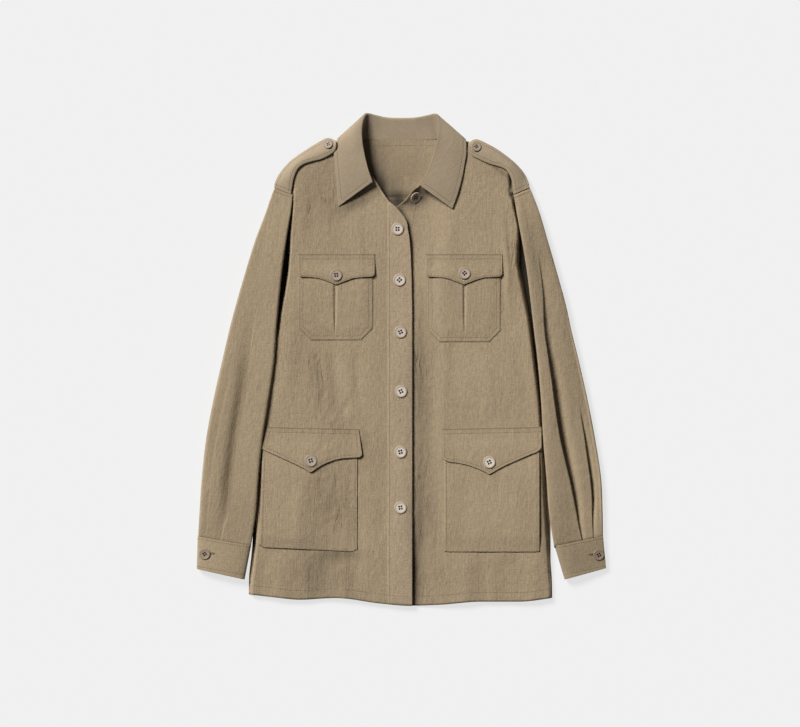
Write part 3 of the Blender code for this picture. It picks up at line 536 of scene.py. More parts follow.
def creased(rows, x, y):
    """Height of hand-placed creases at a point."""
    total = np.zeros(np.broadcast(x, y).shape)
    for from_x, from_y, to_x, to_y, bow, width, rise in zip(*rows.values()):
        run_x = to_x - from_x
        run_y = to_y - from_y
        long = math.hypot(run_x, run_y)
        along = ((x - from_x) * run_x + (y - from_y) * run_y) / long ** 2
        off = ((x - from_x) * run_y - (y - from_y) * run_x) / long
        off = off - bow * 4 * along * (1 - along)
        fade = ease(along / 0.3) * ease((1 - along) / 0.3)
        total = total + rise * fade * bell(off, width)
    return total


def strip(length, pitch, rim=(0.4, 1.1)):
    """Fractions along a length at about the pitch, with a few close to each end."""
    inner = np.linspace(0, length, max(3, round(length / pitch) + 1))
    inner = inner[(inner > 1.8 * rim[-1]) & (inner < length - 1.8 * rim[-1])]
    ends = np.array((0.0, *rim))
    return np.concatenate([ends, inner, length - ends[::-1]]) / length


def rounded(near, radius=1.0, fall=0.25):
    """How far a turned edge falls away at a distance from it."""
    return -fall * (1 - np.clip(near / radius, 0, 1)) ** 2


def groove(off, depth=0.14, width=0.9):
    """The dent that a row of stitches pulls into the cloth."""
    return -depth * bell(off, width)


def body_half(x, y):
    return np.where(np.asarray(x) < 0, curve(BODY, "right", y), curve(BODY, "left", y))


def yoke_rise(x, y):
    return 2.7 * ease((y - curve(FALL_EDGE, "y", abs(x)) + 17) / 13)


def inner_yoke(x, y):
    """Lower face of the yoke, rising gently over the collar's fall at the back."""
    lap = 1.0 * (1 - ease((y - 246) / 30)) - 0.95 * (1 - ease((y - 243.5) / 4.5))
    return lap + 2.8 * ease((y - curve(FALL_EDGE, "y", abs(x)) + 58) / 58)


def turn_at(x, y):
    """Where the fronts turn down at the side: distance in from the side seam, and width of the turn."""
    right = np.asarray(x) < 0
    inset = np.where(right, curve(TURN, "in_right", y), curve(TURN, "in_left", y))
    return inset, np.where(right, curve(TURN, "wide_right", y), curve(TURN, "wide_left", y))


def front_top(x, y):
    """Height of the fronts' upper face with its folds, before the fine crinkles."""
    x = np.asarray(x, float)
    y = np.asarray(y, float)
    inset, wide = turn_at(x, y)
    across = np.maximum(body_half(x, y) - abs(x) - inset, 1e-3)
    up = np.maximum(curve(SHOULDER, "y", abs(x)) - y, 1e-3)
    near = across * up / np.hypot(across, up)
    edge = 1.7 + 1.8 * ease((y - 240) / 14) + yoke_rise(x, y)
    return edge + (curve(LEVEL, "z", y) - edge + creased(FRONT_CREASES, x, y)) * ease(near / wide)


def covered(x, y):
    """How far a point of the fronts lies under a pocket or flap, from 0 to 1."""
    hidden = np.zeros(np.broadcast(x, y).shape)
    for side in SIDES:
        chest = CHEST[side]
        off = chest["half"] - abs(x - chest["centre"])
        inside = ease(off / 3) * ease((y - chest["bottom"]) / 3) * ease((chest["flap_top"] - y) / 3)
        low, high = sorted((HIP[side]["low_in"], HIP[side]["low_out"]))
        inside_hip = ease((x - low) / 3) * ease((high - x) / 3)
        inside_hip = inside_hip * ease((y - HIP_BOTTOM) / 3) * ease((-102 - y) / 3)
        hidden = np.maximum(hidden, np.maximum(inside, inside_hip))
    return hidden


def crinkle_strength(x, y):
    return 0.14 + 0.16 * np.clip(patch_sum("crinkle", x, y), 0, 1.3)


def front_crinkle(x, y):
    """Fine crinkles of the fronts, calm under what is sewn on."""
    calm = 1 - covered(x, y)
    raised = crinkle_strength(x, y) * CRINKLE.at(x + 300, y + 400)
    return (raised - 0.25 * (1 - calm)) * (0.2 + 0.8 * calm)


def under_top(x, y):
    """Upper face of the under front, dipping under the over front and into the open neck."""
    edge = curve(UNDER_EDGE, "x", y)
    deep = 3.2 + 1.6 * ease((y - 120) / 60) + 1.4 * ease((-220 - y) / 80)
    dip = deep * (1 - ease((x - 26) / 48)) * ease((258 - y) / 12)
    open_neck = ease((y - 224) / 10) * ease((270 - y) / 10)
    pit = open_neck * (2.2 * bell(x - edge - 15, 11) - 2.0 * bell(x - edge, 5) * ease((y - 230) / 8))
    return front_top(x, y) - dip - pit


def over_top(x, y):
    """Upper face of the over front, curling down at its edge near the neck."""
    edge = curve(OVER_EDGE, "x", y)
    curl = 1.0 * ease((12 - (edge - x)) / 12) * ease((y - 186) / 20) * ease((262 - y) / 12)
    return front_top(x, y) - curl


def carrier_top(x, y):
    """Height of whichever front lies uppermost, without its crinkles."""
    return np.where(np.asarray(x) < curve(OVER_EDGE, "x", y), over_top(x, y), under_top(x, y))


def bridged_top(x, y):
    """The same under a hip pocket, which bridges the turn at the side."""
    inset, wide = turn_at(x, y)
    reach = body_half(x, y) - inset - wide
    return carrier_top(np.sign(x) * np.minimum(abs(x), reach), y)


def hem_y(x):
    return curve(HEM, "drop", x)


def body_row(x_from, x_to, y, steps):
    """Rows of a body panel, from edge to edge; the lowest ones bend to follow the hem."""
    x = x_from + (x_to - x_from) * steps
    share = ease((y - BODY_FOOT) / 150)
    return x, y + (hem_y(x) - BODY_FOOT) * (1 - share)


def upward(points, columns=slice(None)):
    """Unit normals of a grid of points, on the side where those columns look up."""
    normal = unit(np.cross(np.gradient(points, axis=1), np.gradient(points, axis=0)))
    return -normal if normal[:, columns, 2].mean() < 0 else normal


def arc_lengths(points, axis):
    """Distance along each line of a grid, from its start."""
    step = np.linalg.norm(np.diff(points, axis=axis), axis=-1)
    pad = np.zeros_like(np.take(step, [0], axis=axis))
    return np.concatenate([pad, np.cumsum(step, axis=axis)], axis=axis)


def reached(value, measure, columns):
    """The row, as a fraction too, where a measure that grows down each column has a value."""
    return [np.interp(value, measure[:, c], np.arange(len(measure))) for c in columns]


# Shader maths.
class Wire:
    """A shader socket, or a number, that takes part in Python expressions."""

    def __init__(self, shop, socket):
        self.shop = shop
        self.socket = socket

    def maths(self, operation, *others):
        return self.shop.add("ShaderNodeMath", {"operation": operation}, (self, *others))

    def __add__(self, other):
        return self.maths("ADD", other)

    def __sub__(self, other):
        return self.maths("SUBTRACT", other)

    def __mul__(self, other):
        return self.maths("MULTIPLY", other)

    def __truediv__(self, other):
        return self.maths("DIVIDE", other)

    def __pow__(self, other):
        return self.maths("POWER", other)

    def __rsub__(self, other):
        return self.shop.add("ShaderNodeMath", {"operation": "SUBTRACT"}, (other, self))

    __radd__ = __add__
    __rmul__ = __mul__


class Finish:
    """One material under construction."""

    def __init__(self, name):
        self.made = bpy.data.materials.new(name)
        self.made.use_nodes = True
        self.tree = self.made.node_tree
        self.shader = self.tree.nodes["Principled BSDF"]

    def add(self, kind, settings=None, values=(), output=0):
        """A node of any type: its settings first, then the values or links of its sockets."""
        node = self.tree.nodes.new(kind)
        for name, value in (settings or {}).items():
            setattr(node, name, value)
        pairs = values.items() if isinstance(values, dict) else enumerate(values)
        for key, value in pairs:
            if isinstance(value, Wire):
                self.tree.links.new(value.socket, node.inputs[key])
            elif value is not None:
                node.inputs[key].default_value = value
        return Wire(self, node.outputs[output])

    def feed(self, socket, wire):
        self.tree.links.new(wire.socket, self.shader.inputs[socket])

    def hold(self, values):
        """Constants, set on the shader itself."""
        for name, value in values.items():
            self.shader.inputs[name].default_value = value

    def place(self):
        """Where a point lies on its object."""
        return self.add("ShaderNodeTexCoord", output=3)

    def stored(self, layer):
        """A number that the mesh carries."""
        return self.add("ShaderNodeAttribute", {"attribute_name": layer}, output=2)

    def noise(self, where, scale, detail, roughness=0.5):
        values = {"Vector": where, "Scale": scale, "Detail": detail, "Roughness": roughness}
        return self.add("ShaderNodeTexNoise", None, values)

    def bump(self, height, strength, distance):
        values = {"Strength": strength, "Distance": distance, "Height": height}
        self.feed("Normal", self.add("ShaderNodeBump", None, values))

    def mixed(self, factor, low, high, clamp=True):
        """A colour between two others."""
        settings = {"data_type": "RGBA", "clamp_factor": clamp}
        return self.add("ShaderNodeMix", settings, {0: factor, 6: low, 7: high}, output=2)

    def shaded(self, factor, colour, low, high, clamp=True):
        """A colour between a darker and a paler shade of it."""
        ends = [(*(min(1, c * level) for c in colour), 1) for level in (low, high)]
        return self.mixed(factor, *ends, clamp)


def cloth_finish(name, colour, crinkle, seed, grainy):
    """Washed cotton: a plain weave, slubs along the grain, fine crinkles with painted shade in their lines,
    small shifts of shade, and the painted shade and light that the mesh carries.
    """
    finish = Finish(name)
    flat = finish.add("ShaderNodeUVMap", {"uv_map": "cloth"})
    u, v = (finish.add("ShaderNodeSeparateXYZ", None, (flat,), output) for output in (0, 1))

    def stretched(across, along, detail, shift, roughness=0.55, start=u):
        where = finish.add("ShaderNodeCombineXYZ", None, (start * across, v * along, seed + shift))
        return finish.noise(where, 1.0, detail, roughness)

    slub = stretched(420.0, 120.0, 3.0, 0.0)
    weft = stretched(130.0, 470.0, 3.0, 3.0)
    grain = stretched(520.0, 480.0, 2.0, 5.0)
    fold = stretched(260.0, 42.0, 3.0, 13.0)
    patches = stretched(16.0, 9.0, 2.0, 11.0)
    broken = stretched(60.0, 22.0, 2.0, 9.0)
    sway = stretched(45.0, 45.0, 2.0, 15.0)
    weave = (u * 7400.0).maths("SINE") * (v * 7400.0).maths("SINE")

    run = stretched(120.0, 9.0, 1.0, 7.0, 0.5, u + 0.008 * sway)
    line = (1 - (run - 0.5).maths("ABSOLUTE") * 38.0).maths("MAXIMUM", 0.0)
    gate = finish.add("ShaderNodeClamp", None, ((broken - 0.44) * 7.0, 0.0, 1.0))
    crease = line * gate * finish.stored("crinkle") * crinkle

    shade = 0.47 * slub + 0.30 * weft + 0.31 * grain + 0.22 * patches + 0.16 * fold + 0.04 * weave
    # The crinkle lines are also painted darker: painted shade in the creases.
    level = (shade - 0.73) * 3.4 * grainy + 0.5 - 0.62 * crease
    clamped = finish.add("ShaderNodeClamp", None, (level, -0.5, 1.2))
    tone = finish.shaded(clamped, colour, 0.83, 1.17, clamp=False)
    # Painted shade and light: the colour is scaled by the amount that the mesh carries.
    wash = {0: tone, "Scale": 1 + finish.stored("wash")}
    finish.feed("Base Color", finish.add("ShaderNodeVectorMath", {"operation": "SCALE"}, wash))
    finish.feed("Roughness", 0.84 + 0.12 * slub)

    height = 0.50 * slub + 0.30 * weft + 0.30 * grain + 0.55 * fold * crinkle + 0.035 * weave - 0.6 * crease
    finish.bump(height, 0.9 * grainy, 0.0012)
    finish.hold({"Sheen Weight": 0.12, "Sheen Roughness": 0.5, "Specular IOR Level": 0.25})
    return finish.made


# Painted shade: the walls of a button's holes are painted near black for the dark in the holes.
PAINTED_HOLE_SHADE = (0.02, 0.015, 0.011)
SATIN = 0.06


def button_finish(name, colour, rim_colour, gloss):
    """Satin shell-like plastic with faint clouds, another colour at its rim that is partly painted shade (on
    the neck button, a painted highlight), and painted shade in its holes.
    """
    finish = Finish(name)
    clouds = finish.noise(finish.place(), 260.0, 3.0, 0.6)
    dish = finish.shaded(clouds, colour, 0.85, 1.15)
    edge = finish.shaded(clouds, rim_colour, 0.9, 1.1)
    turned = finish.mixed(finish.stored("rim"), dish, edge)
    finish.feed("Base Color", finish.mixed(finish.stored("hole"), turned, (*PAINTED_HOLE_SHADE, 1)))
    finish.feed("Roughness", 0.40 + 0.16 * clouds)
    finish.bump(clouds, 0.12, 0.0004)
    finish.hold({"Specular IOR Level": 0.35, "Coat Weight": gloss, "Coat Roughness": 0.2})
    return finish.made


def thread_finish(name, colour):
    """Twisted sewing thread."""
    finish = Finish(name)
    fibres = finish.noise(finish.place(), 2600.0, 2.0)
    finish.feed("Base Color", finish.shaded(fibres, colour, 0.8, 1.15))
    finish.feed("Roughness", 0.6 + 0.2 * fibres)
    finish.hold({"Specular IOR Level": 0.3})
    return finish.made


# Cloths: material, its colour setting, share of crinkles, seed, graininess.
# Threads: material, its colour setting.
CLOTHS = {
    "body": ("washed_khaki", "khaki", 1.0, 1.0, 1.0),
    "sleeve": ("washed_khaki_sleeve", "khaki", 0.8, 5.0, 0.85),
    "flap": ("washed_khaki_flap", "khaki", 0.9, 9.0, 1.0),
    "trim": ("faced_khaki", "trim", 0.2, 13.0, 0.5),
    "placket": ("placket_khaki", "placket", 0.4, 15.0, 1.0),
    "inside": ("khaki_inside", "khaki", 0.9, 17.0, 0.75),
}
THREADS = {"thread": ("khaki_thread", "thread"), "dark_thread": ("button_thread", "button_thread")}
FINISHES = {}


def finish_for(kind):
    """The material of a kind of cloth or thread, made once."""
    if kind not in FINISHES:
        maker, known = (cloth_finish, CLOTHS) if kind in CLOTHS else (thread_finish, THREADS)
        name, setting, *measures = known[kind]
        colour = tuple(getattr(bpy.context.scene.jacket_look, setting))
        FINISHES[kind] = maker(name, colour, *measures)
    return FINISHES[kind]


# Meshes.
def welded(places):
    """Which points are kept where some coincide, and the kept one of each point."""
    _, first, back = np.unique(np.round(places, 3), axis=0, return_index=True, return_inverse=True)
    return first, back.reshape(-1)


def grid_mesh(name, points, uv, weld=False, flip=False):
    """A mesh of quads through a grid of points in millimetres, with the flat cloth as its UV map."""
    rows, columns = points.shape[:2]
    index = np.arange(rows * columns).reshape(rows, columns)
    quads = np.stack([index[:-1, :-1], index[:-1, 1:], index[1:, 1:], index[1:, :-1]], axis=-1).reshape(-1, 4)
    if flip:
        quads = quads[:, ::-1]
    flat = uv.reshape(-1, 2)[quads.ravel()]
    places = points.reshape(-1, 3)
    if weld:
        first, back = welded(places)
        places = places[first]
        quads = back[quads]
    mesh = faced_mesh(name, places, quads)
    layer = mesh.uv_layers.new(name="cloth")
    layer.data.foreach_set("uv", (flat * MM).ravel())
    return mesh


def faced_mesh(name, places, faces):
    """A smooth mesh from points in millimetres and faces with the same number of corners."""
    mesh = bpy.data.meshes.new(name)
    corners = faces.shape[1]
    mesh.vertices.add(len(places))
    mesh.vertices.foreach_set("co", (np.asarray(places, float) * MM).ravel())
    mesh.loops.add(faces.size)
    mesh.loops.foreach_set("vertex_index", faces.ravel().astype(np.int32))
    mesh.polygons.add(len(faces))
    mesh.polygons.foreach_set("loop_start", np.arange(0, faces.size, corners, dtype=np.int32))
    mesh.polygons.foreach_set("use_smooth", np.ones(len(faces), bool))
    mesh.update(calc_edges=True)
    return mesh


def added(name, data):
    """A new object in the scene."""
    made = bpy.data.objects.new(name, data)
    bpy.context.scene.collection.objects.link(made)
    return made


def placed(name, mesh, finish, slot, *nodes):
    """An object of the jacket's one body, in the scene, standing for its solids."""
    made = added(name, mesh)
    mesh.materials.append(finish)
    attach(made, "root")
    if nodes:
        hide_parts(*nodes)
    return made


# The deepest painted shade that may be given.
DARKEST = -0.94


def shell(node, points, uv, thick, finish, slot="khaki_cloth", weld=False, flip=False, also=(), tone=0.0):
    """A thin shell of cloth in place of a solid: its outer face, thickened inwards, with its painted shade
    and light.
    """
    mesh = grid_mesh(node + "_cloth", points, uv, weld, flip)
    places = points.reshape(-1, 3)
    kept = welded(places)[0] if weld else slice(None)
    x, y = places[kept, :2].T
    # Painted shade and light: the shade patches, the tone given to the piece and its painted shadows, stored
    # to darken or lighten its colour.
    shade = patch_sum("shade", x, y) + np.broadcast_to(tone, points.shape[:2]).ravel()[kept]
    if node in PAINTED_SHADOWS:
        shade = shade + patch_sum("shade", x, y, PAINTED_SHADOWS[node])
    for layer, values in (("wash", np.maximum(shade, DARKEST)), ("crinkle", patch_sum("crinkle", x, y))):
        mesh.attributes.new(layer, "FLOAT", "POINT").data.foreach_set("value", values)
    made = placed(node + "_cloth", mesh, finish_for(finish), slot, node, *also)
    wall = made.modifiers.new("wall", "SOLIDIFY")
    wall.thickness = thick * MM
    wall.offset = -1
    return made


STITCH_RINGS = np.array([(-0.5, 0.3), (-0.36, 0.85), (0, 1.0), (0.36, 0.85), (0.5, 0.3)])
STITCH_SIDES = 6


def ring(radius, height, sides, centre=(0.0, 0.0)):
    """Points round a circle."""
    turn = 2 * math.pi * np.arange(sides) / sides
    return [(centre[0] + radius * math.cos(a), centre[1] + radius * math.sin(a), height) for a in turn]


def ring_faces(start, rings, sides):
    """Quads between rings of points that follow each other."""
    faces = []
    for a in range(start, start + (rings - 1) * sides, sides):
        for k in range(sides):
            n = (k + 1) % sides
            faces.append((a + k, a + n, a + sides + n, a + sides + k))
    return faces


def stitch_template():
    """Points and faces of one stitch, a short capsule of unit length and half width."""
    places = [(t, y, z) for t, r in STITCH_RINGS for y, z, _ in ring(r, 0, STITCH_SIDES)]
    faces = ring_faces(0, len(STITCH_RINGS), STITCH_SIDES)
    last = (len(STITCH_RINGS) - 1) * STITCH_SIDES
    faces += [(0, 5, 4, 3), (0, 3, 2, 1)]
    faces += [(last, last + 1, last + 2, last + 3), (last, last + 3, last + 4, last + 5)]
    return np.array(places), np.array(faces)


def along_run(points, normals, pitch):
    """Even places along a run, with the way along it and its normals."""
    length = arc_lengths(points, 0)
    count = max(1, int(length[-1] / pitch))
    at = (np.arange(count) + 0.5) * length[-1] / count

    def read(values, where):
        return np.stack([np.interp(where, length, values[:, k]) for k in range(3)], axis=-1)

    ahead = unit(read(points, at + 0.35 * pitch) - read(points, at - 0.35 * pitch))
    up = read(normals, at)
    return read(points, at), ahead, unit(up - ahead * (up * ahead).sum(-1, keepdims=True))


def stitched(name, runs, pitch=3.3, long=2.4, wide=0.85, high=0.42):
    """Rows of stitches as one mesh; each run is a line of points on the cloth and its normals."""
    template, faces = stitch_template()
    places = []
    for points, normals in runs:
        middle, ahead, up = along_run(np.asarray(points), np.asarray(normals), pitch)
        along, across, above = template.T[:, None, :, None]
        made = middle[:, None] + ahead[:, None] * along * long
        made = made + np.cross(up, ahead)[:, None] * across * wide * 0.5
        places.extend(made + up[:, None] * (above * high * 0.5 + 0.04))
    joined = [faces + i * len(template) for i in range(len(places))]
    mesh = faced_mesh(name, np.concatenate(places), np.concatenate(joined))
    return placed(name, mesh, finish_for("thread"), "khaki_cloth")


def laid_run(line, top, step=1.5):
    """A run over a height function, through corner points in the plane."""
    line = np.asarray(line, float)
    length = arc_lengths(line, 0)
    at = np.linspace(0, length[-1], max(2, int(length[-1] / step) + 1))
    x = np.interp(at, length, line[:, 0])
    y = np.interp(at, length, line[:, 1])
    slope_x = (top(x + 0.6, y) - top(x - 0.6, y)) / 1.2
    slope_y = (top(x, y + 0.6) - top(x, y - 0.6)) / 1.2
    return xyz(x, y, top(x, y)), unit(xyz(-slope_x, -slope_y, 1.0))


def traced_run(points, normals, rows, columns):
    """A run over a grid, through fractional rows and columns."""
    rows = np.clip(np.asarray(rows, float), 0, points.shape[0] - 1.001)
    columns = np.clip(np.asarray(columns, float), 0, points.shape[1] - 1.001)
    r = rows.astype(int)
    c = columns.astype(int)
    fr = (rows - r)[:, None]
    fc = (columns - c)[:, None]

    def read(values):
        return (
            values[r, c] * (1 - fr) * (1 - fc) + values[r + 1, c] * fr * (1 - fc)
            + values[r, c + 1] * (1 - fr) * fc + values[r + 1, c + 1] * fr * fc
        )

    return read(points), read(normals)


def plane_uv(points, shift=(0, 0)):
    """The flat cloth of a piece that lies almost level."""
    return points[..., :2] + np.asarray(shift, float)


# Pieces.
YOKE_THICK = 1.0
# Rows of stitches that show inside the neck.
YOKE_STITCHES = (248.4, 252.6, 321)


def yoke_face(x, y):
    """Lower face of the yoke as it shows, with its crinkles."""
    return inner_yoke(x, y) + 0.12 + 0.12 * np.clip(CRINKLE.at(x + 40, y - 60), -1.0, 3)


def back_pieces():
    y = np.linspace(-366, 245.7, 90)[:, None]
    x, run = body_row(-body_half(-1, y), body_half(1, y), y, strip(450, 7))
    run = run + 3 * (1 - ease((y + 366) / 60))
    points = xyz(x, run, 0.25 * np.clip(CRINKLE.at(x + 90, run), 0, 2))
    panel = shell("back_panel", points, plane_uv(points), 0.9, "inside", flip=True)

    lap = [243.5, 243.8, 244.4]
    y = np.concatenate([lap, np.linspace(245.2, 262, 16), np.linspace(264, 335, 36)])[:, None]
    steps = strip(370, 3)
    x = body_half(1, y) * steps - body_half(-1, y) * (1 - steps)
    points = xyz(x, y, yoke_face(x, y))
    yoke = shell("back_yoke", points, plane_uv(points, (60, 0)), YOKE_THICK, "inside", flip=True)

    def inside(x, y):
        return yoke_face(x, y) + YOKE_THICK

    lines = [laid_run([(-62, y), (62, y)], inside) for y in YOKE_STITCHES]
    seams = stitched("yoke_stitching", lines, wide=0.6, high=0.3)


# Rows of the fronts, closest at the neck, and stitches of the under front that show there.
FRONT_ROWS = np.concatenate(
    [np.arange(-372, 238, 3.4), np.arange(238, 262, 1.2), np.arange(262, 329, 2.6), [331]],
)[:, None]
NECK_STITCHES = [(21.7, 231.4), (18.5, 215), (15, 197)]


def front_face(top, x, y):
    """A front as it shows, with its crinkles and the dent of its hem stitches."""
    return top(x, y) + front_crinkle(x, y) + groove(y - hem_y(x) - HEM_INSET, HEM_DENT)


def over_face(x, y):
    """The over front as it shows, with the roll of its edge below the neck."""
    edge = curve(OVER_EDGE, "x", y) - x
    roll = 0.5 * bell(edge - 1.6, 1.4) - 0.35 * bell(edge - 4.4, 1.3)
    return front_face(over_top, x, y) + roll * ease((y - 196) / 20)


def under_face(x, y):
    """The under front as it shows, with its turned edge in the open neck."""
    edge = x - curve(UNDER_EDGE, "x", y)
    turn = groove(edge - 6.5, 0.12) + rounded(edge, 1.7, 1.3)
    return front_face(under_top, x, y) + turn * ease((y - 222) / 8)


def over_shade(x, y):
    """A painted highlight along the over front's edge below the neck."""
    rim = curve(OVER_EDGE, "x", y) - x
    return 0.16 * bell(rim - 0.9, 1.6) * ease((y - 190) / 20) * ease((262 - y) / 8)


def under_shade(x, y):
    """Painted shade: the under front is darkened in the lee of the over front's edge."""
    lee = x - curve(OVER_EDGE, "x", y)
    return -0.6 * (1 - ease(lee / 10)) * ease((y - 150) / 50) * ease((246 - y) / 14)


def side_shade(x, y, z):
    """Painted shade in the gap beside a sleeve, where a front turns down; less of it beside the left hip
    pocket.
    """
    low = (1 - ease((z - 1.5) / 8)) * ease((abs(x) - 110) / 20)
    low = low * (1 - 0.85 * ease(x / 50) * ease((-135 - y) / 25))
    return -1.1 * low * ease((244 - y) / 10) * ease((y + 300) / 30)


def hem_run(x, face):
    return laid_run(np.stack([x, hem_y(x) + HEM_INSET], axis=-1), face)


def fronts():
    steps = strip(236, 2.05, (0.5, 1.3))
    for node, sign, edge, face, shade in (
        ("front_over", -1, OVER_EDGE, over_face, over_shade),
        ("front_under", 1, UNDER_EDGE, under_face, under_shade),
    ):
        seam = sign * body_half(sign, FRONT_ROWS)
        x, y = body_row(seam, curve(edge, "x", FRONT_ROWS), FRONT_ROWS, steps)
        z = face(x, y)
        points = xyz(x, y, z)
        # Painted light and painted shade of each front.
        tone = shade(x, y) + side_shade(x, y, z)
        made = shell(node, points, plane_uv(points), 0.9, "body", flip=sign > 0, tone=tone)
        lines = [hem_run(np.linspace(sign * 226, -20 if sign > 0 else -21, 120), face)]
        if sign > 0:
            lines.append(laid_run(NECK_STITCHES, face))
        stitched(node + "_stitching", lines)


def placket_edge(y):
    """Free edge of the placket, just past the over front's."""
    return curve(OVER_EDGE, "x", y) + 0.2


def placket_face(x, y):
    """Upper face of the placket, with its stitch dents and turned edges."""
    edge = placket_edge(y)
    z = over_top(np.minimum(x, 14.0), y) + 1.35 + 0.14 * CRINKLE.at(x + 130, y + 120)
    z = z + groove(x - PLACKET_STITCH, 0.15) * ease((222 - y) / 12)
    z = z + groove(y - hem_y(x) - HEM_INSET, HEM_DENT) + groove(edge - x - 5.5, 0.08)
    return z + rounded(edge - x, 1.3, 0.30) + rounded(x - PLACKET_LOW, 1.0, 0.45)


def placket():
    y = np.concatenate([np.arange(-372, 170, 4.0), np.arange(170, 234, 2.0), [234]])[:, None]
    x, run = body_row(PLACKET_LOW, placket_edge(y), y, strip(36, 1.5, FINE_RIM))
    points = xyz(x, run, placket_face(x, run))
    made = shell("front_placket", points, plane_uv(points, (150, 40)), 1.0, "placket", "khaki_trim")
    lines = [
        laid_run([(PLACKET_STITCH, -364), (PLACKET_STITCH, 214)], placket_face),
        hem_run(np.linspace(PLACKET_LOW + 2, 14, 20), placket_face),
    ]
    pieces = [stitched("placket_stitching", lines)]


# Places up the collar's stand, points round its fold, and places down its fall.
STAND_SHARES = (0, 0.012, 0.035, *np.linspace(0.1, 0.92, 9))
FOLD_STEPS = 13
FALL_SHARES = (*np.linspace(0.04, 0.95, 26), 0.965, 0.98, 0.99, 1.0)
FALL_START = len(STAND_SHARES) + FOLD_STEPS
COLLAR_INSET = 6.5
WING_ROWS = 62


def collar_grid():
    """Points of the collar's face: from wing to wing, each row from neck seam over the fold to the edge."""
    last = len(COLLAR["neck_x"]) - 1
    stations = dict(at=np.arange(last + 1.0), **COLLAR)
    near = np.array([0, 0.02, 0.06, 0.12, 0.2])
    up = np.array([0, 0, 1.0])
    grid = []
    for at in np.concatenate([near, np.linspace(0.3, last - 0.3, 150), last - near[::-1]]):
        *places, facing, tip, radius = (float(curve(stations, name, at)) for name in COLLAR)
        neck, roll, edge = np.reshape(places, (3, 3))
        facing, tip = math.radians(facing), math.radians(tip)
        away = np.array([math.cos(facing), math.sin(facing), 0])
        out = math.cos(tip) * away + math.sin(tip) * up
        inward = -math.sin(tip) * away + math.cos(tip) * up
        heart = roll - out * radius
        turns = np.linspace(0, math.pi * (1 - 0.42 * math.sin(tip)), FOLD_STEPS)
        fold = [heart + radius * (out * math.sin(a) + inward * math.cos(a)) for a in turns]
        stand = [neck + (fold[0] - neck) * t for t in STAND_SHARES]
        bow = 0.9 * math.sin(tip) * up
        fall = [fold[-1] + (edge - fold[-1]) * t + bow * math.sin(math.pi * t) for t in FALL_SHARES]
        grid.append(stand + fold + fall)
    return np.array(grid)


def collar():
    points = collar_grid()
    normal = upward(points)
    to_edge = arc_lengths(points[:, ::-1], 1)[:, ::-1]
    along = arc_lengths(points, 0)
    to_end = np.minimum(along, along[-1:] - along)
    column = np.arange(points.shape[1])
    dents = groove(to_edge - COLLAR_INSET) * ease((to_end - 5.5) / 2)
    dents = dents + groove(to_end - COLLAR_INSET) * ease((to_edge - 5.5) / 2) * (column >= FALL_START)
    dents = dents + rounded(to_edge, 1.1, 0.24) + rounded(to_end, 1.1, 0.24)
    dents = dents + 0.05 * CRINKLE.at(along + 20, to_edge + 300)
    points = points + normal * dents[..., None]
    # Painted shade along the neck seam, and up the inside of the left wing.
    tone = np.zeros(points.shape[:2])
    tone[:, :3] = (-0.34, -0.26, -0.10)
    tone[points[:, 0, 0] > 24, 8:26] -= 0.2 * bell(column[8:26] - 16, 6)
    uv = np.stack([along, to_edge], axis=-1)
    made = shell("collar", points, uv, 1.1, "trim", "khaki_trim", flip=True, tone=tone)

    row = np.arange(len(points))
    inset = np.array(reached(-COLLAR_INSET, -to_edge.T, row))
    free = to_end[:, -1] > COLLAR_INSET
    lines = []
    for wing in (row < WING_ROWS, row >= len(row) - WING_ROWS):
        lines.append(traced_run(points, normal, row[free & wing], inset[free & wing]))
    for way in (1, -1):
        grid = points[::way]
        kept = [c for c in column[FALL_START + 1:-1] if to_edge[::way][0, c] >= COLLAR_INSET]
        lines.append(traced_run(grid, normal[::way], reached(COLLAR_INSET, arc_lengths(grid, 0), kept), kept))
    pieces = [stitched("collar_stitching", lines)]


def sleeve_height(side, across, rise):
    """A sleeve's upper face across it, where its top stands that far above the silhouette."""
    return SLEEVE_BASE + (curve(SLEEVE_PROFILE[side], "z", across) - SLEEVE_BASE) * rise / SLEEVE_RISE


def strap_grid(side, count, columns):
    """Points of a shoulder strap's upper face, row by row from its pointed end."""
    sign = SIDES[side]
    stations = dict(at=np.linspace(0, 1, len(STRAPS[side]["low_x"])), **STRAPS[side])
    at = strip(120, 120 / count, (0.4, 1.0))[:, None]
    t = strip(26, 26 / columns, (0.3, 0.8))
    low_x, low_y, high_x, high_y, lift, high_z = (curve(stations, name, at) for name in STRAPS[side])
    x = sign * (low_x + (high_x - low_x) * t)
    y = low_y + (high_y - low_y) * t
    low_z = front_top(x[:, :1] - 9 * sign, y[:, :1]) + 1.4 + lift
    z = low_z + (high_z - low_z) * t ** 1.6 + 2.0 * np.sin(np.pi * t)
    head = sleeve_height(side, 1 - t, 5.0) + 0.7
    return xyz(x, y, z + (head - z) * ease((at - 0.72) / 0.28))


STRAP_INSET = 5.0
SEAM_INSET = 5.5


